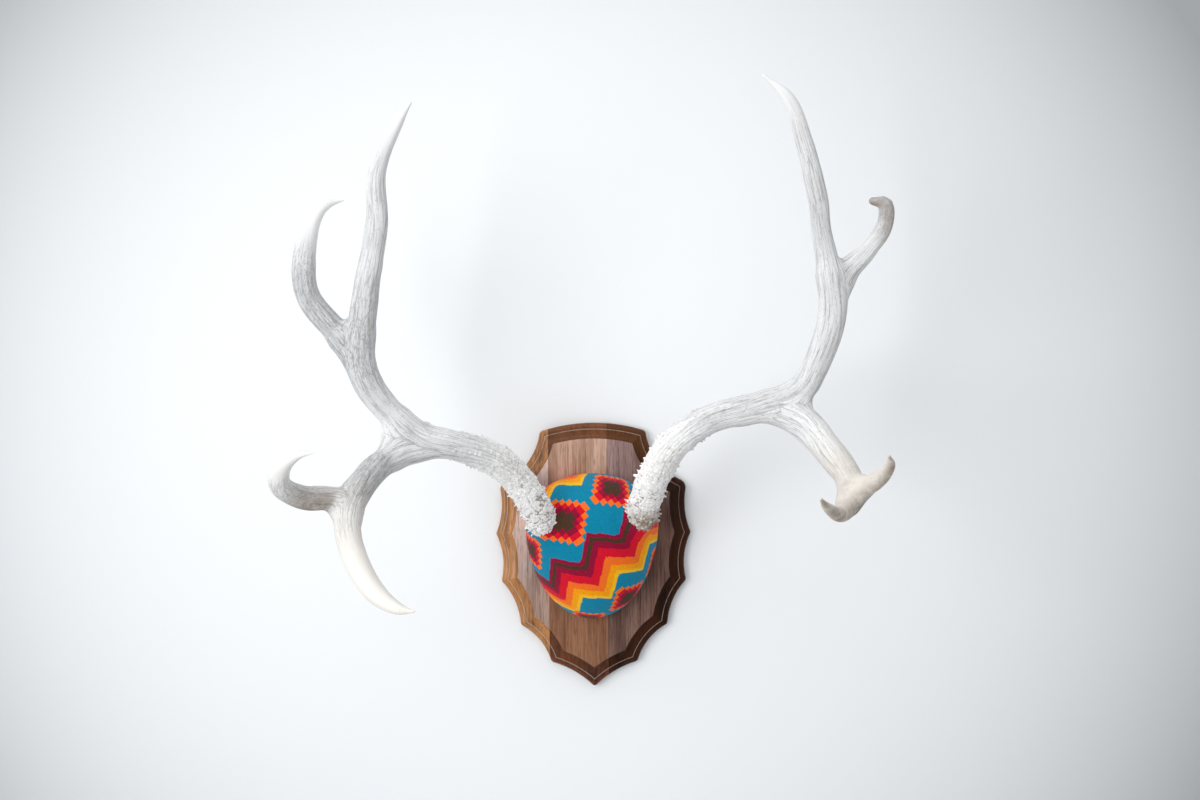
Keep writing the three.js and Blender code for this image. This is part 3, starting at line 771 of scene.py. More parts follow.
def skin_of(field):
    """The vertices, in millimetres, and the faces of the skin where a field is zero."""
    inside = field.values < 0
    offsets = np.array(list(np.ndindex(2, 2, 2)))
    wide, deep, tall = np.array(inside.shape) - 1
    filled = sum(inside[i : wide + i, j : deep + j, k : tall + k].astype(np.uint8) for i, j, k in offsets)
    cells = np.argwhere((filled > 0) & (filled < 8))
    corners = np.stack([field.values[tuple((cells + o).T)] for o in offsets], 1)
    total, crossings = np.zeros((len(cells), 3)), np.zeros(len(cells))
    for m, start in enumerate(offsets):
        for n, end in enumerate(offsets):
            if n > m and abs(end - start).sum() == 1:
                a, b = corners[:, m], corners[:, n]
                cut = (a < 0) != (b < 0)
                share = np.where(cut, a / np.where(cut, a - b, 1), 0)[:, None]
                total += np.where(cut[:, None], start + share * (end - start), 0)
                crossings += cut
    points = field.low + (cells + total / crossings[:, None]) * field.step
    keys = np.ravel_multi_index(cells.T, field.count)
    faces = []
    for axis in range(3):
        one, two = np.eye(3, dtype=int)[(axis + 1) % 3], np.eye(3, dtype=int)[(axis + 2) % 3]
        here = inside[tuple(cells.T)]
        beyond = inside[tuple((cells + np.eye(3, dtype=int)[axis]).T)]
        for start in (True, False):
            edge = cells[(here == start) & (beyond != start)]
            ring = [edge, edge - one, edge - one - two, edge - two]
            quad = np.stack([np.searchsorted(keys, np.ravel_multi_index(c.T, field.count)) for c in ring], 1)
            faces.append(quad if start else quad[:, ::-1])
    return points, np.concatenate(faces)


trial = Field((-6, -6, -6), (6, 6, 6), 1.0)
trial.rod(np.array((0.0, 0, -1)), np.array((0.0, 0, 1)), 3, 3, 3)
print("a trial rod's skin:", [len(part) for part in skin_of(trial)], "vertices and faces")

# %% Repeatable noise for shapes
def chance(spot, seed):
    """A random value from -1 to 1 that belongs to a whole-numbered spot."""
    mixed = (spot[:, 0] * 73856093) ^ (spot[:, 1] * 19349663) ^ (spot[:, 2] * 83492791) ^ (seed * 2654435)
    mixed = (mixed ^ (mixed >> 13)) * 1274126177 & 0xFFFFFFFF
    return ((mixed ^ (mixed >> 16)) & 0xFFFF) / 32767.5 - 1


def lumps(points, size, seed):
    """A smooth random value from -1 to 1 at each point, with lumps of that size, which may differ by axis."""
    scaled = np.asarray(points) / np.asarray(size) + seed * 17.31
    base = np.floor(scaled).astype(np.int64)
    part = scaled - base
    part = part * part * part * (part * (part * 6 - 15) + 10)
    total = 0
    for corner in np.ndindex(2, 2, 2):
        weight = np.prod(np.where(np.array(corner) == 1, part, 1 - part), axis=1)
        total = total + weight * chance(base + corner, seed)
    return total


def plates(points, size, seed):
    """The level, from -1 to 1, of the plate that each point is on, and how far the point is from its edge."""
    drift = np.stack([lumps(points, size * 0.6, seed + k) for k in range(3)], 1)
    scaled = points / size + drift * 0.3
    base = np.floor(scaled).astype(np.int64)
    first, second, level = np.full(len(points), 9.0), np.full(len(points), 9.0), np.zeros(len(points))
    for corner in np.ndindex(3, 3, 3):
        spot = base + corner - 1
        middle = spot + 0.5 + 0.5 * np.stack([chance(spot, seed + k) for k in (3, 4, 5)], 1)
        apart = np.linalg.norm(scaled - middle, axis=1)
        nearer = apart < first
        second = np.where(nearer, first, np.minimum(second, apart))
        level = np.where(nearer, chance(spot, seed + 6), level)
        first = np.minimum(first, apart)
    return level, (second - first) * size


trial_values = lumps(np.random.default_rng(1).uniform(-50, 50, (2000, 3)), 4.0, 3)
print("noise runs from", round(trial_values.min(), 2), "to", round(trial_values.max(), 2))

# %% [markdown]
# ## The shape of an antler
# Four limbs, a web of bone in each fork, and pearls: the small knobs that crowd round the burr and thin out
# along the beam. All of them are joined in one field, so they flow into each other as bone does.

# %% Grow the limbs
GRID = 0.8
FILLS_OUT = 35  # how far along a branch its full radius is reached


def soft_ramp(value):
    """Holds a value between 0 and 1 and eases it in and out."""
    held = np.clip(value, 0, 1)
    return held * held * (3 - 2 * held)


def limb_field(limb, start, slim):
    """The distance from a limb, which starts at a share of its full radius and fills out along its foot."""
    radius = limb.radius * (slim + (1 - slim) * soft_ramp(limb.run / FILLS_OUT))
    wide = limb.radius.max() + 12
    field = Field(limb.place.min(0) - wide, limb.place.max(0) + wide, GRID)
    stops = np.unique(np.append(np.arange(int(start), len(limb.run) - 1, 4), len(limb.run) - 1))
    for a, b in zip(stops, stops[1:]):
        field.rod(limb.place[a], limb.place[b], radius[a], radius[b], 9.0)
    return field


def parted(limb, branch, crotch):
    """How far along a limb and its branch their skins have parted by the width of the crotch."""
    nearest, apart = limb.nearest(branch.place)
    clear = np.where(nearest > 0, apart - branch.radius, -99)
    on_branch = int(np.flatnonzero(clear <= crotch).max())
    on_limb = int(nearest[on_branch])
    back_apart = branch.nearest(limb.place)[1] - limb.radius
    while on_limb < len(limb.run) - 1 and back_apart[on_limb] < crotch:
        on_limb += 1
    return on_limb, on_branch


def add_web(field, limb, branch, crotch, short):
    """Fills a fork with rods between the two limbs, and stops a share of their radius short of the crotch."""
    on_limb, on_branch = parted(limb, branch, crotch)
    root = int(limb.nearest(branch.place[:1])[0][0])
    for share in np.linspace(0.0, 1.0, max(4, on_branch // 3)):
        a = int(root + (on_limb - root) * share)
        b = int(on_branch * share)
        a = max(root, int(a - short * limb.radius[a] * share))
        b = max(0, int(b - short * branch.radius[b] * share))
        thick = 0.86 * min(limb.radius[a], branch.radius[b])
        field.rod(limb.place[a], branch.place[b], thick, thick, 8.0, fillet=2.0 + 5.0 * share)


# %% Add the pearls and the burr
WORN = 0.86  # how much the front of the burr is worn down
PEARLS = (
    (120, 180, 1.5, 0.8, 1.6, 1.8),
    (220, 150, 1.5, 1.3, 2.5, 4.6),
    (60, 200, 0.9, 1.6, 2.6, 3.8),
)  # how many, how far up the beam, how crowded at its foot, least and most radius, and greatest length
BURR_ROWS = (
    (26.0, 24, 3.0, 2.8, 0.35),
    (31.0, 22, 2.9, 1.8, 0.85),
    (37.0, 20, 2.6, 1.5, 1.0),
)  # how far along, how many knobs, their radius, how deep they root and how far they stand out


def worn_down(outward):
    return 1 - WORN * max(-outward[1], 0)


def add_pearls(field, limb, draw):
    """Small pearls crowd round the foot and thin out along the beam, with sharp flakes among them."""
    for count, reach, crowded, least, most, longest in PEARLS:
        for _ in range(count):
            share = draw.random() ** crowded
            i = int(BURR_FROM + 3 + reach * share)
            angle = draw.uniform(0, 2 * math.pi)
            outward = limb.across[i] * math.cos(angle) + limb.beside[i] * math.sin(angle)
            radius = least + (most - least) * draw.random() ** 1.5 * (1 - 0.5 * share)
            centre = limb.place[i] + outward * (limb.radius[i] - radius * 0.5)
            lean = outward * draw.uniform(0.25, 1) * longest * worn_down(outward) * (1 - 0.5 * share)
            lean = lean + limb.heading[i] * draw.uniform(-1.6, 1.6)
            field.rod(centre, centre + lean, radius, radius * draw.uniform(0.2, 0.5), 2.6, fillet=1.3)


def add_burr(field, limb, spurs, draw):
    """The crown of knobs round the foot of the antler, and a few long ones."""
    for row, (distance, count, size, rooted, proud) in enumerate(BURR_ROWS):
        for k in range(count):
            i = int(distance + draw.uniform(-2.2, 2.2))
            angle = 2 * math.pi * (k + 0.5 * row + draw.uniform(-0.35, 0.35)) / count
            outward = limb.across[i] * math.cos(angle) + limb.beside[i] * math.sin(angle)
            radius = size * draw.uniform(0.55, 1.15)
            root = limb.place[i] + outward * (limb.radius[i] - rooted)
            out = outward * draw.uniform(2.0, 6.2) * (worn_down(outward) * proud)
            out = out + limb.heading[i] * draw.uniform(0.3, 2.6)
            field.rod(root, root + out, radius, radius * draw.uniform(0.2, 0.5), 3.0, fillet=1.6)
    for root, end, radius in spurs:
        field.rod(np.array(root, float), np.array(end, float), radius, radius * 0.45, 3.0, fillet=2.0)


# %% Join an antler
FORK_FILLETS = (14.0, 11.0, 6.0)  # for the front limb, the outer back tine and the outer front tine


def antler_field(side):
    row = limbs[side]
    fields = [limb_field(row["main"], 20, 1.0)] + [limb_field(row[name], 0, 0.6) for name in LIMBS[1:]]
    low = np.min([f.low for f in fields], axis=0)
    high = np.max([f.low + f.step * (f.count - 1) for f in fields], axis=0)
    whole = Field(low, high, GRID)
    for field, fillet in zip(fields, (0.0, *FORK_FILLETS)):
        whole.join(field, fillet)
    fill = Limb(ANTLERS[side]["fill"])
    for a in range(0, len(fill.run) - 4, 4):
        whole.rod(fill.place[a], fill.place[a + 4], fill.radius[a], fill.radius[a + 4], 7.0, fillet=4.0)
    for limb, branch, crotch, short in ANTLERS[side]["forks"]:
        add_web(whole, row[limb], row[branch], crotch, short)
    draw = np.random.default_rng(ANTLERS[side]["seed"])
    add_pearls(whole, row["main"], draw)
    add_burr(whole, row["main"], ANTLERS[side]["spurs"], draw)
    return whole


skins = {side: skin_of(antler_field(side)) for side in ANTLERS}
print({side: (len(points), len(faces)) for side, (points, faces) in skins.items()}, "vertices and faces")

# %% [markdown]
# ## Grooves that follow the limb
# Blood vessels in the velvet leave long grooves that run along each limb and split at the forks. To draw
# them, each vertex gets coordinates that flow with its limb: two that go round it and one along it. Limbs
# that meet in a fork take turns: the main limb and the outer front tine share one set, the other two limbs
# share the second, and a weight blends the sets across the fork.

# %% Work out the flow
FLOW_ROUND = 12  # the radius of the circle that stands for any limb's girth, so that grooves keep their width
FLOW_APART = 900  # how far along the second limb of a set begins, so that the two don't share a pattern
SETS_MEET = 10  # how wide the blend between the two sets is
TIP_REACH = 110  # how much of a limb's end counts as its tip


def flow_round(limb, points, reading, offset):
    """Coordinates that run round and along a limb."""
    i = reading[0]
    off = points - limb.place[i]
    along = np.einsum("ij,ij->i", off, limb.heading[i])
    a = np.einsum("ij,ij->i", off, limb.across[i])
    b = np.einsum("ij,ij->i", off, limb.beside[i])
    size = np.maximum(np.hypot(a, b), 1e-6)
    return np.stack([FLOW_ROUND * a / size, FLOW_ROUND * b / size, limb.run[i] + along + offset], 1)


def flows(side, points, readings):
    sets = []
    for one, two in (("main", "frontOuter"), ("front", "backOuter")):
        row = limbs[side]
        nearer = (readings[two][1] < readings[one][1])[:, None]
        first = flow_round(row[one], points, readings[one], 0)
        second = flow_round(row[two], points, readings[two], FLOW_APART)
        sets.append((np.where(nearer, second, first), np.minimum(readings[one][1], readings[two][1])))
    return sets[0][0], sets[1][0], soft_ramp(0.5 + (sets[0][1] - sets[1][1]) / SETS_MEET)


def tip_share(side, points, readings):
    """How near each point is to the tip of its limb, from 0 to 1 over the last stretch."""
    share, best = np.zeros(len(points)), np.full(len(points), np.inf)
    for name in LIMBS:
        i, apart = readings[name]
        left = limbs[side][name].length - limbs[side][name].run[i]
        nearer = apart < best
        share[nearer] = np.clip(1 - left[nearer] / TIP_REACH, 0, 1)
        best = np.minimum(best, apart)
    return share


# %% Mark where the bone has aged, and where shade is painted on it
# The grey marks are partly the bone's grey and partly painted shade where limbs turn from the window; brown,
# cream and smooth are the bone's own.
AGED = {
    "left": {
        "grey_and_shade": {
            "main": [(150, 0), (275, 0.1), (315, 0.8), (350, 0.9), (430, 0.2), (520, 0.2)],
            "front": [(45, 0), (80, 1.1), (110, 0.7), (150, 0)],
            "backOuter": [(0, 0.9), (60, 0.9), (130, 0.9), (180, 0)],
            "frontOuter": [(40, 0.2), (65, 1.1), (95, 0.7), (115, 0)],
        },
        "cream": {"front": [(100, 0), (170, 0.7)], "frontOuter": [(0, 0.1), (100, 0.2)]},
        "brown": {
            "main": [(20, 0.4), (32, 0)],
            "front": [(80, 0), (110, 0.3), (140, 0)],
            "frontOuter": [(5, 0.2), (30, 0.9), (60, 0.9), (90, 0)],
        },
        "smooth": {
            "main": [(490, 0), (560, 1)],
            "front": [(140, 0), (190, 1)],
            "backOuter": [(110, 0), (190, 1)],
            "frontOuter": [(40, 0), (95, 1)],
        },
    },
    "right": {
        "grey_and_shade": {
            "main": [(120, 0.2), (260, 0.35), (420, 0.2), (480, 0.35), (560, 0.1)],
            "front": [(0, 0.3), (70, 0)],
            "backOuter": [(80, 0), (105, 0.9), (130, 1.5)],
        },
        "cream": {"front": [(40, 0), (90, 0.35), (150, 0.9)], "frontOuter": [(0, 0.9)]},
        "brown": {
            "main": [(20, 1.4), (40, 1.3), (56, 0)],
            "front": [(70, 0), (115, 0.3), (150, 1.2), (230, 1.0)],
            "backOuter": [(80, 0), (105, 0.8), (125, 1.3)],
            "frontOuter": [(0, 1.0), (50, 0.6), (110, 1.0)],
        },
        "smooth": {
            "main": [(530, 0), (600, 1)],
            "front": [(70, 0), (150, 0.7), (220, 1)],
            "backOuter": [(50, 0), (120, 1)],
            "frontOuter": [(0, 0.6), (60, 1)],
        },
    },
}  # millimetres along a limb, and how much there
BLEND = 4.0  # how fast a limb's say fades with the distance from it


def blended(values_of, readings):
    """The mean of each limb's values at its nearest samples, weighed by how near the limb is."""
    level, total = 0, 0
    for name in LIMBS:
        i, apart = readings[name]
        weight = np.exp(-np.maximum(apart, 0) / BLEND)
        level = level + weight * values_of(name)[i]
        total = total + weight
    return level / total


def aged(side, kind, readings):
    """How grey (with painted shade), cream, brown or smooth the bone is at each point, from the marks along
    each limb.
    """
    marks = AGED[side][kind]
    along = lambda name: np.interp(limbs[side][name].run, *zip(*marks.get(name, [(0, 0)])))
    return blended(along, readings)


def ridged(flow, across, along, seed):
    """Narrow furrows between broad ridges, long in the direction of the limb."""
    return 1 - 2 * np.abs(lumps(flow, (across, across, along), seed))


readings = {
    side: {name: limb.nearest(skins[side][0]) for name, limb in row.items()} for side, row in limbs.items()
}
print("nearest samples found for", {side: len(row["main"][0]) for side, row in readings.items()})

# %% Make the antlers' meshes
def vertex_value(mesh, name, kind, values):
    field = "value" if kind == "FLOAT" else "vector"
    mesh.attributes.new(name, kind, "POINT").data.foreach_set(field, np.asarray(values, np.float32).ravel())


FLATNESS = 0.085  # how much limbs are flattened front to back, as a share of their radius
CRUST = ((11.0, 0.75), (5.0, 0.45))  # the size of its plates and how far they stand up
ROUGH_FROM, ROUGH_REACH = 45, 140  # the crust is full up to here, and thins out over this length


def crust_at(points, rough, seed):
    """How far the crust stands up at each point, and how deep it is split there."""
    crust, split = np.zeros(len(points)), np.zeros(len(points))
    crusty = rough > 0
    for size, height in CRUST:
        level, edge = plates(points[crusty], size, seed)
        gap = np.clip(1 - edge / 1.2, 0, 1)
        crust[crusty] += height * (level - 1.1 * gap)
        split[crusty] += height * gap
    return crust * rough, split * rough


def antler_piece(side):
    """The skin, raised by broad swellings, flat sides, grooves, crust, and short furrows where that ends."""
    points, faces = skins[side]
    mesh = bpy.data.meshes.new("antler_" + side)
    mesh.from_pydata(points.tolist(), [], faces.tolist())
    normals = np.zeros(len(points) * 3, np.float32)
    mesh.vertex_normals.foreach_get("vector", normals)
    normals = normals.reshape(-1, 3)
    flow_a, flow_b, weight = flows(side, points, readings[side])
    seed = ANTLERS[side]["seed"]
    reach, apart = readings[side]["main"]
    on_main = np.clip(1 - apart / 6, 0, 1)
    rough = on_main * np.clip(1 - (reach - ROUGH_FROM) / ROUGH_REACH, 0, 1) ** 1.1
    tip = tip_share(side, points, readings[side])
    ridges = [0.45 * ridged(f, 1.7, 26, seed) + 0.55 * ridged(f, 1.0, 14, seed + 5) for f in (flow_a, flow_b)]
    groove = (1 - weight) * ridges[0] + weight * ridges[1]
    worms = 1 - 2.4 * np.abs(lumps(flow_a, (2.2, 2.2, 6.5), seed + 6))
    wormy = np.clip(rough / 0.12, 0, 1) * np.clip((0.75 - rough) / 0.3, 0, 1)
    swell = lumps(points, 26.0, seed + 1) * 0.4 + lumps(points, 11.0, seed + 2) * 0.25
    crust, split = crust_at(points, rough, seed + 30)
    girth = blended(lambda name: limbs[side][name].radius, readings[side])
    facing = normals[:, 1] ** 2
    flattened = FLATNESS * girth * 4 * facing * (1 - facing) * (1 - rough)
    raised = swell * (1 - tip) + flattened + groove * 0.09 * (1 - tip) ** 0.7 * (1 - 0.6 * rough)
    raised = raised + crust + worms * wormy * 0.2
    points = points + normals * raised[:, None] - normals * 0.15
    mesh.vertices.foreach_set("co", (points * MM).astype(np.float32).ravel())
    vertex_value(mesh, "flow_first", "FLOAT_VECTOR", flow_a * MM)
    vertex_value(mesh, "flow_second", "FLOAT_VECTOR", flow_b * MM)
    vertex_value(mesh, "flow_share", "FLOAT", weight)
    vertex_value(mesh, "pearled", "FLOAT", rough)
    vertex_value(mesh, "raised", "FLOAT", groove * (1 - rough) - split * 1.9 + worms * wormy * 0.5)
    # painted shade: the brown is made stronger on faces turned down and to the right, away from the window's
    # light
    turned_from_light = np.clip(normals @ np.array([0.45, 0.0, -0.75]) + 0.3, 0, 1)
    for kind, share in (("grey_and_shade", 1), ("cream", 1), ("brown", 0.35 + 0.75 * turned_from_light), ("smooth", 1)):
        vertex_value(mesh, kind, "FLOAT", aged(side, kind, readings[side]) * share)
    mesh.update()
    mesh.shade_smooth()
    piece = bpy.data.objects.new("antler_" + side, mesh)
    scene.collection.objects.link(piece)
    return piece


antlers = {side: antler_piece(side) for side in ANTLERS}
print({side: len(piece.data.polygons) for side, piece in antlers.items()}, "faces")

# %% [markdown]
# ## Bleached bone
# Sun and rain have bleached the bone chalk white. What is left of its colour sits where they don't reach:
# grey lines along the beams, brown in the splits of the crust round the burr, and cream on the tips, which
# are rubbed smooth. Painted shade is laid in with these colours: the grey marks also darken the parts of the
# limbs turned from the window, the brown is stronger on faces turned down and to the right, and the low parts
# of the grooves and of the crust, with the cracks between its plates, are painted darker as shade in the
# hollows as well as for the brown left there. Vertex values say where each is, because they follow the limbs,
# and noise breaks them up. The finest lines and the grain are bump only, because they are thinner than the
# mesh can hold. The colours are laid in layers, from the bone outwards.

# %% Mix the bone finish
def bone_finish():
    material, start = new_finish("bleached_bone")
    read = lambda name, out=2: start.node("Attribute", out=out, attribute_name=name)
    flow_first, flow_second, share = read("flow_first", 1), read("flow_second", 1), read("flow_share")
    pearled, raised, grey_and_shade = read("pearled"), read("raised"), read("grey_and_shade")
    cream, brown, smooth = read("cream"), read("brown"), read("smooth")
    place = start.node("TexCoord", out=3)

    def along_limb(scale, length, detail=2.0):
        pair = [flow.stretched(1, 1, length).noise(scale, detail) for flow in (flow_first, flow_second)]
        return share.mix_values(*pair)

    hairlines = along_limb(1000, 0.035, 3)
    lines = 1 - abs(along_limb(330, 0.028, 2) - 0.5).between(0.0, 0.04)
    fine_lines = 1 - abs(along_limb(560, 0.04, 1) - 0.5).between(0.0, 0.05)
    worms = (1 - abs(along_limb(380, 0.25, 2) - 0.5).between(0.0, 0.055)) * grey_and_shade.between(0.1, 0.8)
    broad_lines = 1 - abs(along_limb(110, 0.04, 1) - 0.5).between(0.0, 0.02)
    blotches = place.noise(38, detail=3).between(0.35, 0.65)
    pits = place.noise(420, detail=2).between(0.36, 0.27)
    grain = place.noise(1400, detail=2)
    drawn = place.node("TexNoise", {"Vector": place, "Scale": 220, "Detail": 2}, out=1)
    drawn = drawn.node("VectorMath", {0: drawn, 1: (0.004, 0.004, 0.004), 2: place}, operation="MULTIPLY_ADD")
    cracks = drawn.node("TexVoronoi", {"Vector": drawn, "Scale": 240}, feature="DISTANCE_TO_EDGE")
    cracks = cracks.between(0.1, 0.0) * pearled.between(0.05, 0.5)
    dashes = along_limb(850, 0.3, 1).between(0.6, 0.7)
    bare = 1 - smooth
    plain = bare * (1 - pearled)
    splits = raised.between(-0.6, -1.5) * pearled.between(0.02, 0.3)
    spots = place.noise(150, detail=2).between(0.66, 0.74) * place.noise(30).between(0.45, 0.6)
    mottle = place.noise(110, detail=5, roughness=0.7).between(0.35, 0.62) * 0.6 + 0.4
    # painted shade is mixed into these layers: the grey marks, the darker low parts of grooves, the cracks and
    # the splits stand partly for shade and partly for the bone's own colour
    stains_and_painted_shade = layered(blotches.mix(colour("eaebec"), colour("e2e2e3")), [
        (grey_and_shade * 0.62, "b6b8bb"),
        (pearled.between(0.0, 0.4), "f8f7f6"),
        (smooth * (1 - grey_and_shade), "ececeb"),
        (cream, "e2dcd3"),
        (lines * plain * 0.4, "7b7977"),
        (fine_lines * plain * 0.3, "83817e"),
        (worms * 0.45, "757371"),
        (broad_lines * plain * 0.4, "7b7873"),
        (raised.between(0.0, -0.75) * plain * 0.14, "8d8780"),
        (dashes * plain * 0.35, "8c8a88"),
        (cracks * 0.25, "8f857c"),
        (splits * 0.75, "7c6e64"),
        (pits * pearled.between(0.1, 0.7) * 0.35, "7a6150"),
        (spots * 0.3, "a8865e"),
        (brown * mottle * 0.8, "8a745f"),
    ])
    height = hairlines * bare * 0.25 - lines * plain * 0.7 - broad_lines * bare * 0.6
    height = height - fine_lines * plain * 0.4 - worms * 0.6 - cracks * 0.8
    height = height + grain * 0.12 - pits * pearled * 0.7
    bump = height.bump(0.5, 0.0008)
    roughness = smooth.mix_values(blotches * 0.12 + 0.72, blotches * 0.12 + 0.5)
    finish_with(start, {"Base Color": stains_and_painted_shade, "Roughness": roughness, "Normal": bump})
    return material


bone = bone_finish()
for side, piece in antlers.items():
    piece.data.materials.append(bone)
    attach(piece, "root")
    parts = [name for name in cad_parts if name.startswith(f"antler_{side}_")]
    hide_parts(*parts)
print("bone on", len(antlers), "antlers, which stand for", len(parts), "nodes each")

# %% [markdown]
# ## The wool cover
# A carved form over the skull plate is covered in blanket wool, pulled tight and drawn up round the two bone
# stubs. It is an egg with its narrow end down. The same kind of field makes it: the egg, and two cones that
# rise to the burrs, joined by a wide fillet, because tight cloth spans the hollow between them. The field's
# even mesh then goes through a cloth simulation, pinned along the plaque and puffed by a little air, which
# evens out the cloth's tension. It moves by a millimetre at most, as the real cloth has no loose folds.

# %% Shape the cover
DOME = {"x": -1.5, "z": 37.5, "half_width": 73.5, "up": 53.5, "down": 106.5, "rise": 62.0, "tuck": 5.0}
CLOTH_GRID = 2.6
FULLNESS = 0.95  # under 1, the egg's sides are fuller than an ellipse's
TUCK_IN, TUCK_STEEP = 0.035, 11.4  # how far the cloth draws in under the egg's widest line, and how fast
EGG_ABOVE, EGG_BELOW = 55.0, 66.0  # about the egg's radius, which turns its shares into millimetres
COLLAR_STEP = 2
COLLAR_FLARE = 0.33  # how much wider than the antler the collar is at its foot
COLLAR_FILLET = 12.0


def dome_field():
    field = Field((-82, -100, -80), (82, -14, 112), CLOTH_GRID)
    slices, (x, y, z) = field.window(field.low, field.low + field.count * CLOTH_GRID)
    dx = (x - DOME["x"]) / DOME["half_width"]
    dz = z - DOME["z"]
    dz = np.where(dz > 0, dz / DOME["up"], dz / DOME["down"])
    flat = np.sqrt(dx**2 + dz**2)
    height = -PLAQUE_THICKNESS - y
    high = (height - DOME["tuck"]) / (DOME["rise"] - DOME["tuck"])
    egg = np.sqrt(flat ** (2 / FULLNESS) + np.maximum(high, 0) ** 2) - 1
    skirt = flat - (1 - TUCK_IN * np.clip(-high * TUCK_STEEP, 0, 1) ** 2)
    egg = np.where(high > 0, egg, skirt)
    size = np.where(dz > 0, EGG_ABOVE, EGG_BELOW)
    field.values[slices] = np.maximum(egg * size, -(height - 0.4)).astype(np.float32)
    return field


def cover_field():
    field = dome_field()
    for side in ANTLERS:
        limb = limbs[side]["main"]
        collar = field.empty_twin()
        for a in range(0, int(BURR_FROM), COLLAR_STEP):
            b = a + COLLAR_STEP
            radii = [limb.radius[k] * (1.02 + COLLAR_FLARE * (1 - k / BURR_FROM)) for k in (a, b)]
            collar.rod(limb.place[a], limb.place[b], *radii, reach=20.0)
        field.join(collar, COLLAR_FILLET)
    return field


cover_points, cover_faces = skin_of(cover_field())
print("cover:", len(cover_points), "vertices")

# %% Pull the cloth over it
CLOTH_FRAMES = 20
CLOTH_MOVE = 1.2 * MM
PUFF = 4.0  # the air's pressure under the cloth
HELD_EDGE = 4  # how far over the plaque the cloth is held down


def cloth_places(points):
    """Where each point lies on the flat cloth, in millimetres from the crown, measured over the curve."""
    dx = points[:, 0] - DOME["x"]
    dz = points[:, 2] - DOME["z"]
    flat = np.hypot(dx / DOME["half_width"], np.where(dz > 0, dz / DOME["up"], dz / DOME["down"]))
    high = np.maximum((-PLAQUE_THICKNESS - points[:, 1]) / DOME["rise"], 0.02)
    stretch = np.arctan2(flat, high) / np.maximum(flat, 1e-4)
    return np.stack([dx * stretch, dz * stretch, np.zeros(len(points))], 1)


def settle_cloth(piece, held, most):
    """Lets the cloth pull itself smooth under a little air, with the held vertices pinned.

    No point ends further than most, in metres, from where it began.
    """
    mesh = piece.data
    before = np.zeros(len(mesh.vertices) * 3, np.float32)
    mesh.vertices.foreach_get("co", before)
    pinned = piece.vertex_groups.new(name="held")
    pinned.add(np.flatnonzero(held).tolist(), 1.0, "REPLACE")
    cloth = piece.modifiers.new("cloth", "CLOTH")
    cloth.settings.vertex_group_mass = pinned.name
    cloth.settings.use_pressure = True
    cloth.settings.uniform_pressure_force = PUFF
    cloth.settings.effector_weights.gravity = 0.0
    cloth.settings.quality = 6
    cloth.point_cache.frame_end = CLOTH_FRAMES
    for frame_number in range(1, CLOTH_FRAMES + 1):
        scene.frame_set(frame_number)
    after = before.copy()
    shown = piece.evaluated_get(bpy.context.evaluated_depsgraph_get())
    shown.data.vertices.foreach_get("co", after)
    piece.modifiers.remove(cloth)
    piece.vertex_groups.remove(pinned)
    scene.frame_set(1)
    move = (after - before).reshape(-1, 3)
    length = np.maximum(np.linalg.norm(move, axis=1, keepdims=True), 1e-9)
    capped = move * np.minimum(1, most / length)
    mesh.vertices.foreach_set("co", (before.reshape(-1, 3) + capped).ravel())
    mesh.update()
    moved = np.linalg.norm(capped, axis=1) / MM
    print("cloth moved, mm, most and mean:", [round(float(v), 2) for v in (moved.max(), moved.mean())])


def cover_piece():
    mesh = bpy.data.meshes.new("wool_cover")
    mesh.from_pydata((cover_points * MM).tolist(), [], cover_faces.tolist())
    piece = bpy.data.objects.new("wool_cover", mesh)
    scene.collection.objects.link(piece)
    settle_cloth(piece, cover_points[:, 1] > -PLAQUE_THICKNESS - HELD_EDGE, CLOTH_MOVE)
    smooth = piece.modifiers.new("smooth", "SMOOTH")
    smooth.factor = 0.5
    smooth.iterations = 3
    finer = piece.modifiers.new("finer", "SUBSURF")
    finer.levels = finer.render_levels = 1
    settle(piece)
    mesh = piece.data
    points = np.zeros(len(mesh.vertices) * 3, np.float32)
    mesh.vertices.foreach_get("co", points)
    points = points.reshape(-1, 3) / MM
    vertex_value(mesh, "cloth", "FLOAT_VECTOR", cloth_places(points) * MM)
    mesh.shade_smooth()
    return piece


cover = cover_piece()
print("wool cover:", len(cover.data.polygons), "faces")

# %% [markdown]
# ## Blanket wool
# The cloth is a banded blanket weave cut on the bias: a blue-green ground, zigzag stripes from yellow to
# brown, and rows of stepped diamonds. The pattern is drawn on the flat cloth's own coordinates, so it bends
# with the form as cloth does. Snapping the coordinates to the width of a thread gives woven edges. All its
# sizes are in millimetres on the flat cloth.

# %% Weave the pattern
BIAS = math.radians(-36)
THREAD = 1.5
PICK = 1.25  # how far apart the ridges of the weave are
ROWS_APART = 66.0  # half the height of the repeat
DIAMONDS_APART = 34.0  # half the width from one diamond to the next
ZIGZAG_HEIGHT = 26.0
DIAMOND_STEP, DIAMOND_SIZE = 6.0, 26.0
WOOL = {
    "ground": colour("0086a9"),
    "yellow": colour("ffc420"),
    "amber": colour("ffa400"),
    "orange": colour("fb7320"),
    "red": colour("dc0a2b"),
    "wine": colour("960534"),
    "brown": colour("4c3324"),
}


ZIGZAG = (
    ("yellow", -30.0), ("amber", -24.0), ("orange", -14.0), ("red", -3.0),
    ("wine", 10.0), ("brown", 19.0), ("wine", 25.0), ("ground", 31.0),
)
DIAMOND = (("wine", 7.0), ("red", 14.0), ("orange", 20.0))


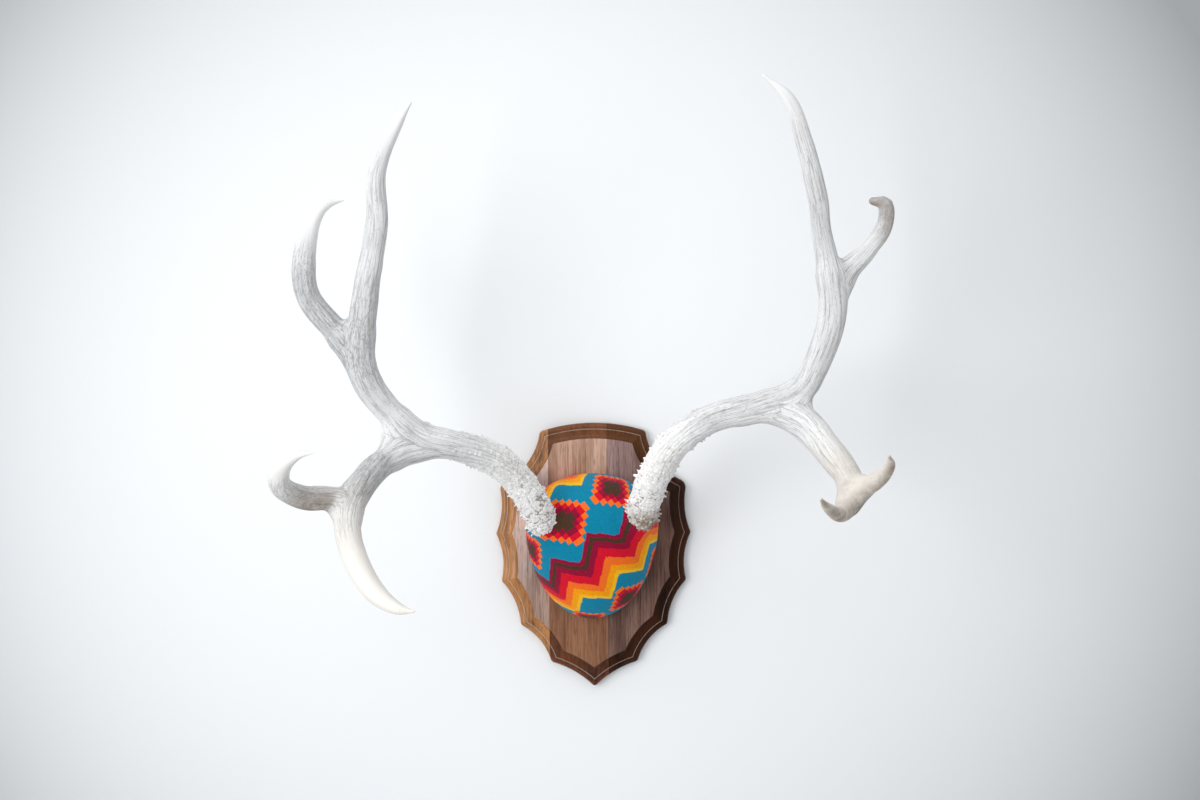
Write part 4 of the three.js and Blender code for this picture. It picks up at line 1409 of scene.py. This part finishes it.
def striped(level, ground, stripes):
    """Colours by level: each stripe is a colour and the level where it starts, from low to high."""
    made = WOOL[ground]
    for tone, start in stripes:
        made = level.over(start).mix(made, WOOL[tone])
    return made


def wool_finish():
    material, start = new_finish("blanket_wool")
    cloth = start.node("Attribute", out=1, attribute_name="cloth")
    place = start.node("TexCoord", out=3)
    turned = cloth.node("VectorRotate", {"Vector": cloth, "Angle": BIAS}, rotation_type="Z_AXIS")
    cloth_x, cloth_y = turned.part("X") * 1000, turned.part("Y") * 1000
    wander = (cloth.noise(55, detail=1) - 0.5) * 3
    along = (cloth_x + wander + 9).stepped(THREAD)
    across = (cloth_y + wander + 46).stepped(THREAD)
    zigzag = across.wrapped(-ROWS_APART, ROWS_APART) + (along.wave(ZIGZAG_HEIGHT) - ZIGZAG_HEIGHT / 2) * 0.9
    woven = striped(zigzag, "ground", ZIGZAG)
    above = abs((across + ROWS_APART).wrapped(-ROWS_APART, ROWS_APART)).stepped(DIAMOND_STEP)
    beside = abs((along + 13.0).wrapped(-DIAMONDS_APART, DIAMONDS_APART)).stepped(DIAMOND_STEP)
    lozenge = above * 1.05 + beside
    woven = (DIAMOND_SIZE - lozenge).over(0.0).mix(woven, striped(lozenge, "brown", DIAMOND))
    warp = (cloth_x / PICK).wave(0.5)
    weft = (cloth_y / PICK).wave(0.5)
    fuzz = place.noise(1000, detail=3, roughness=0.75)
    tufts = place.noise(380, detail=2)
    flecks = fuzz.between(0.62, 0.78)
    shade = fuzz.between(0.3, 0.6)
    cloth_colour = layered(woven, [((1 - shade) * 0.34, "101418"), (flecks * 0.2, "f6efe6")])
    height = warp.most(weft) * 0.55 + fuzz * 0.7 + tufts * 0.5
    bump = height.bump(0.7, 0.0008)
    values = {"Base Color": cloth_colour, "Roughness": fuzz * 0.1 + 0.86, "Normal": bump}
    finish_with(start, {**values, "Sheen Weight": 0.12, "Sheen Roughness": 0.4, "Specular IOR Level": 0.15})
    return material


cover.data.materials.clear()
cover.data.materials.append(wool_finish())
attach(cover, "root")
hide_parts("skull_cap_wool")
print("cover wears", cover.data.materials[0].name)
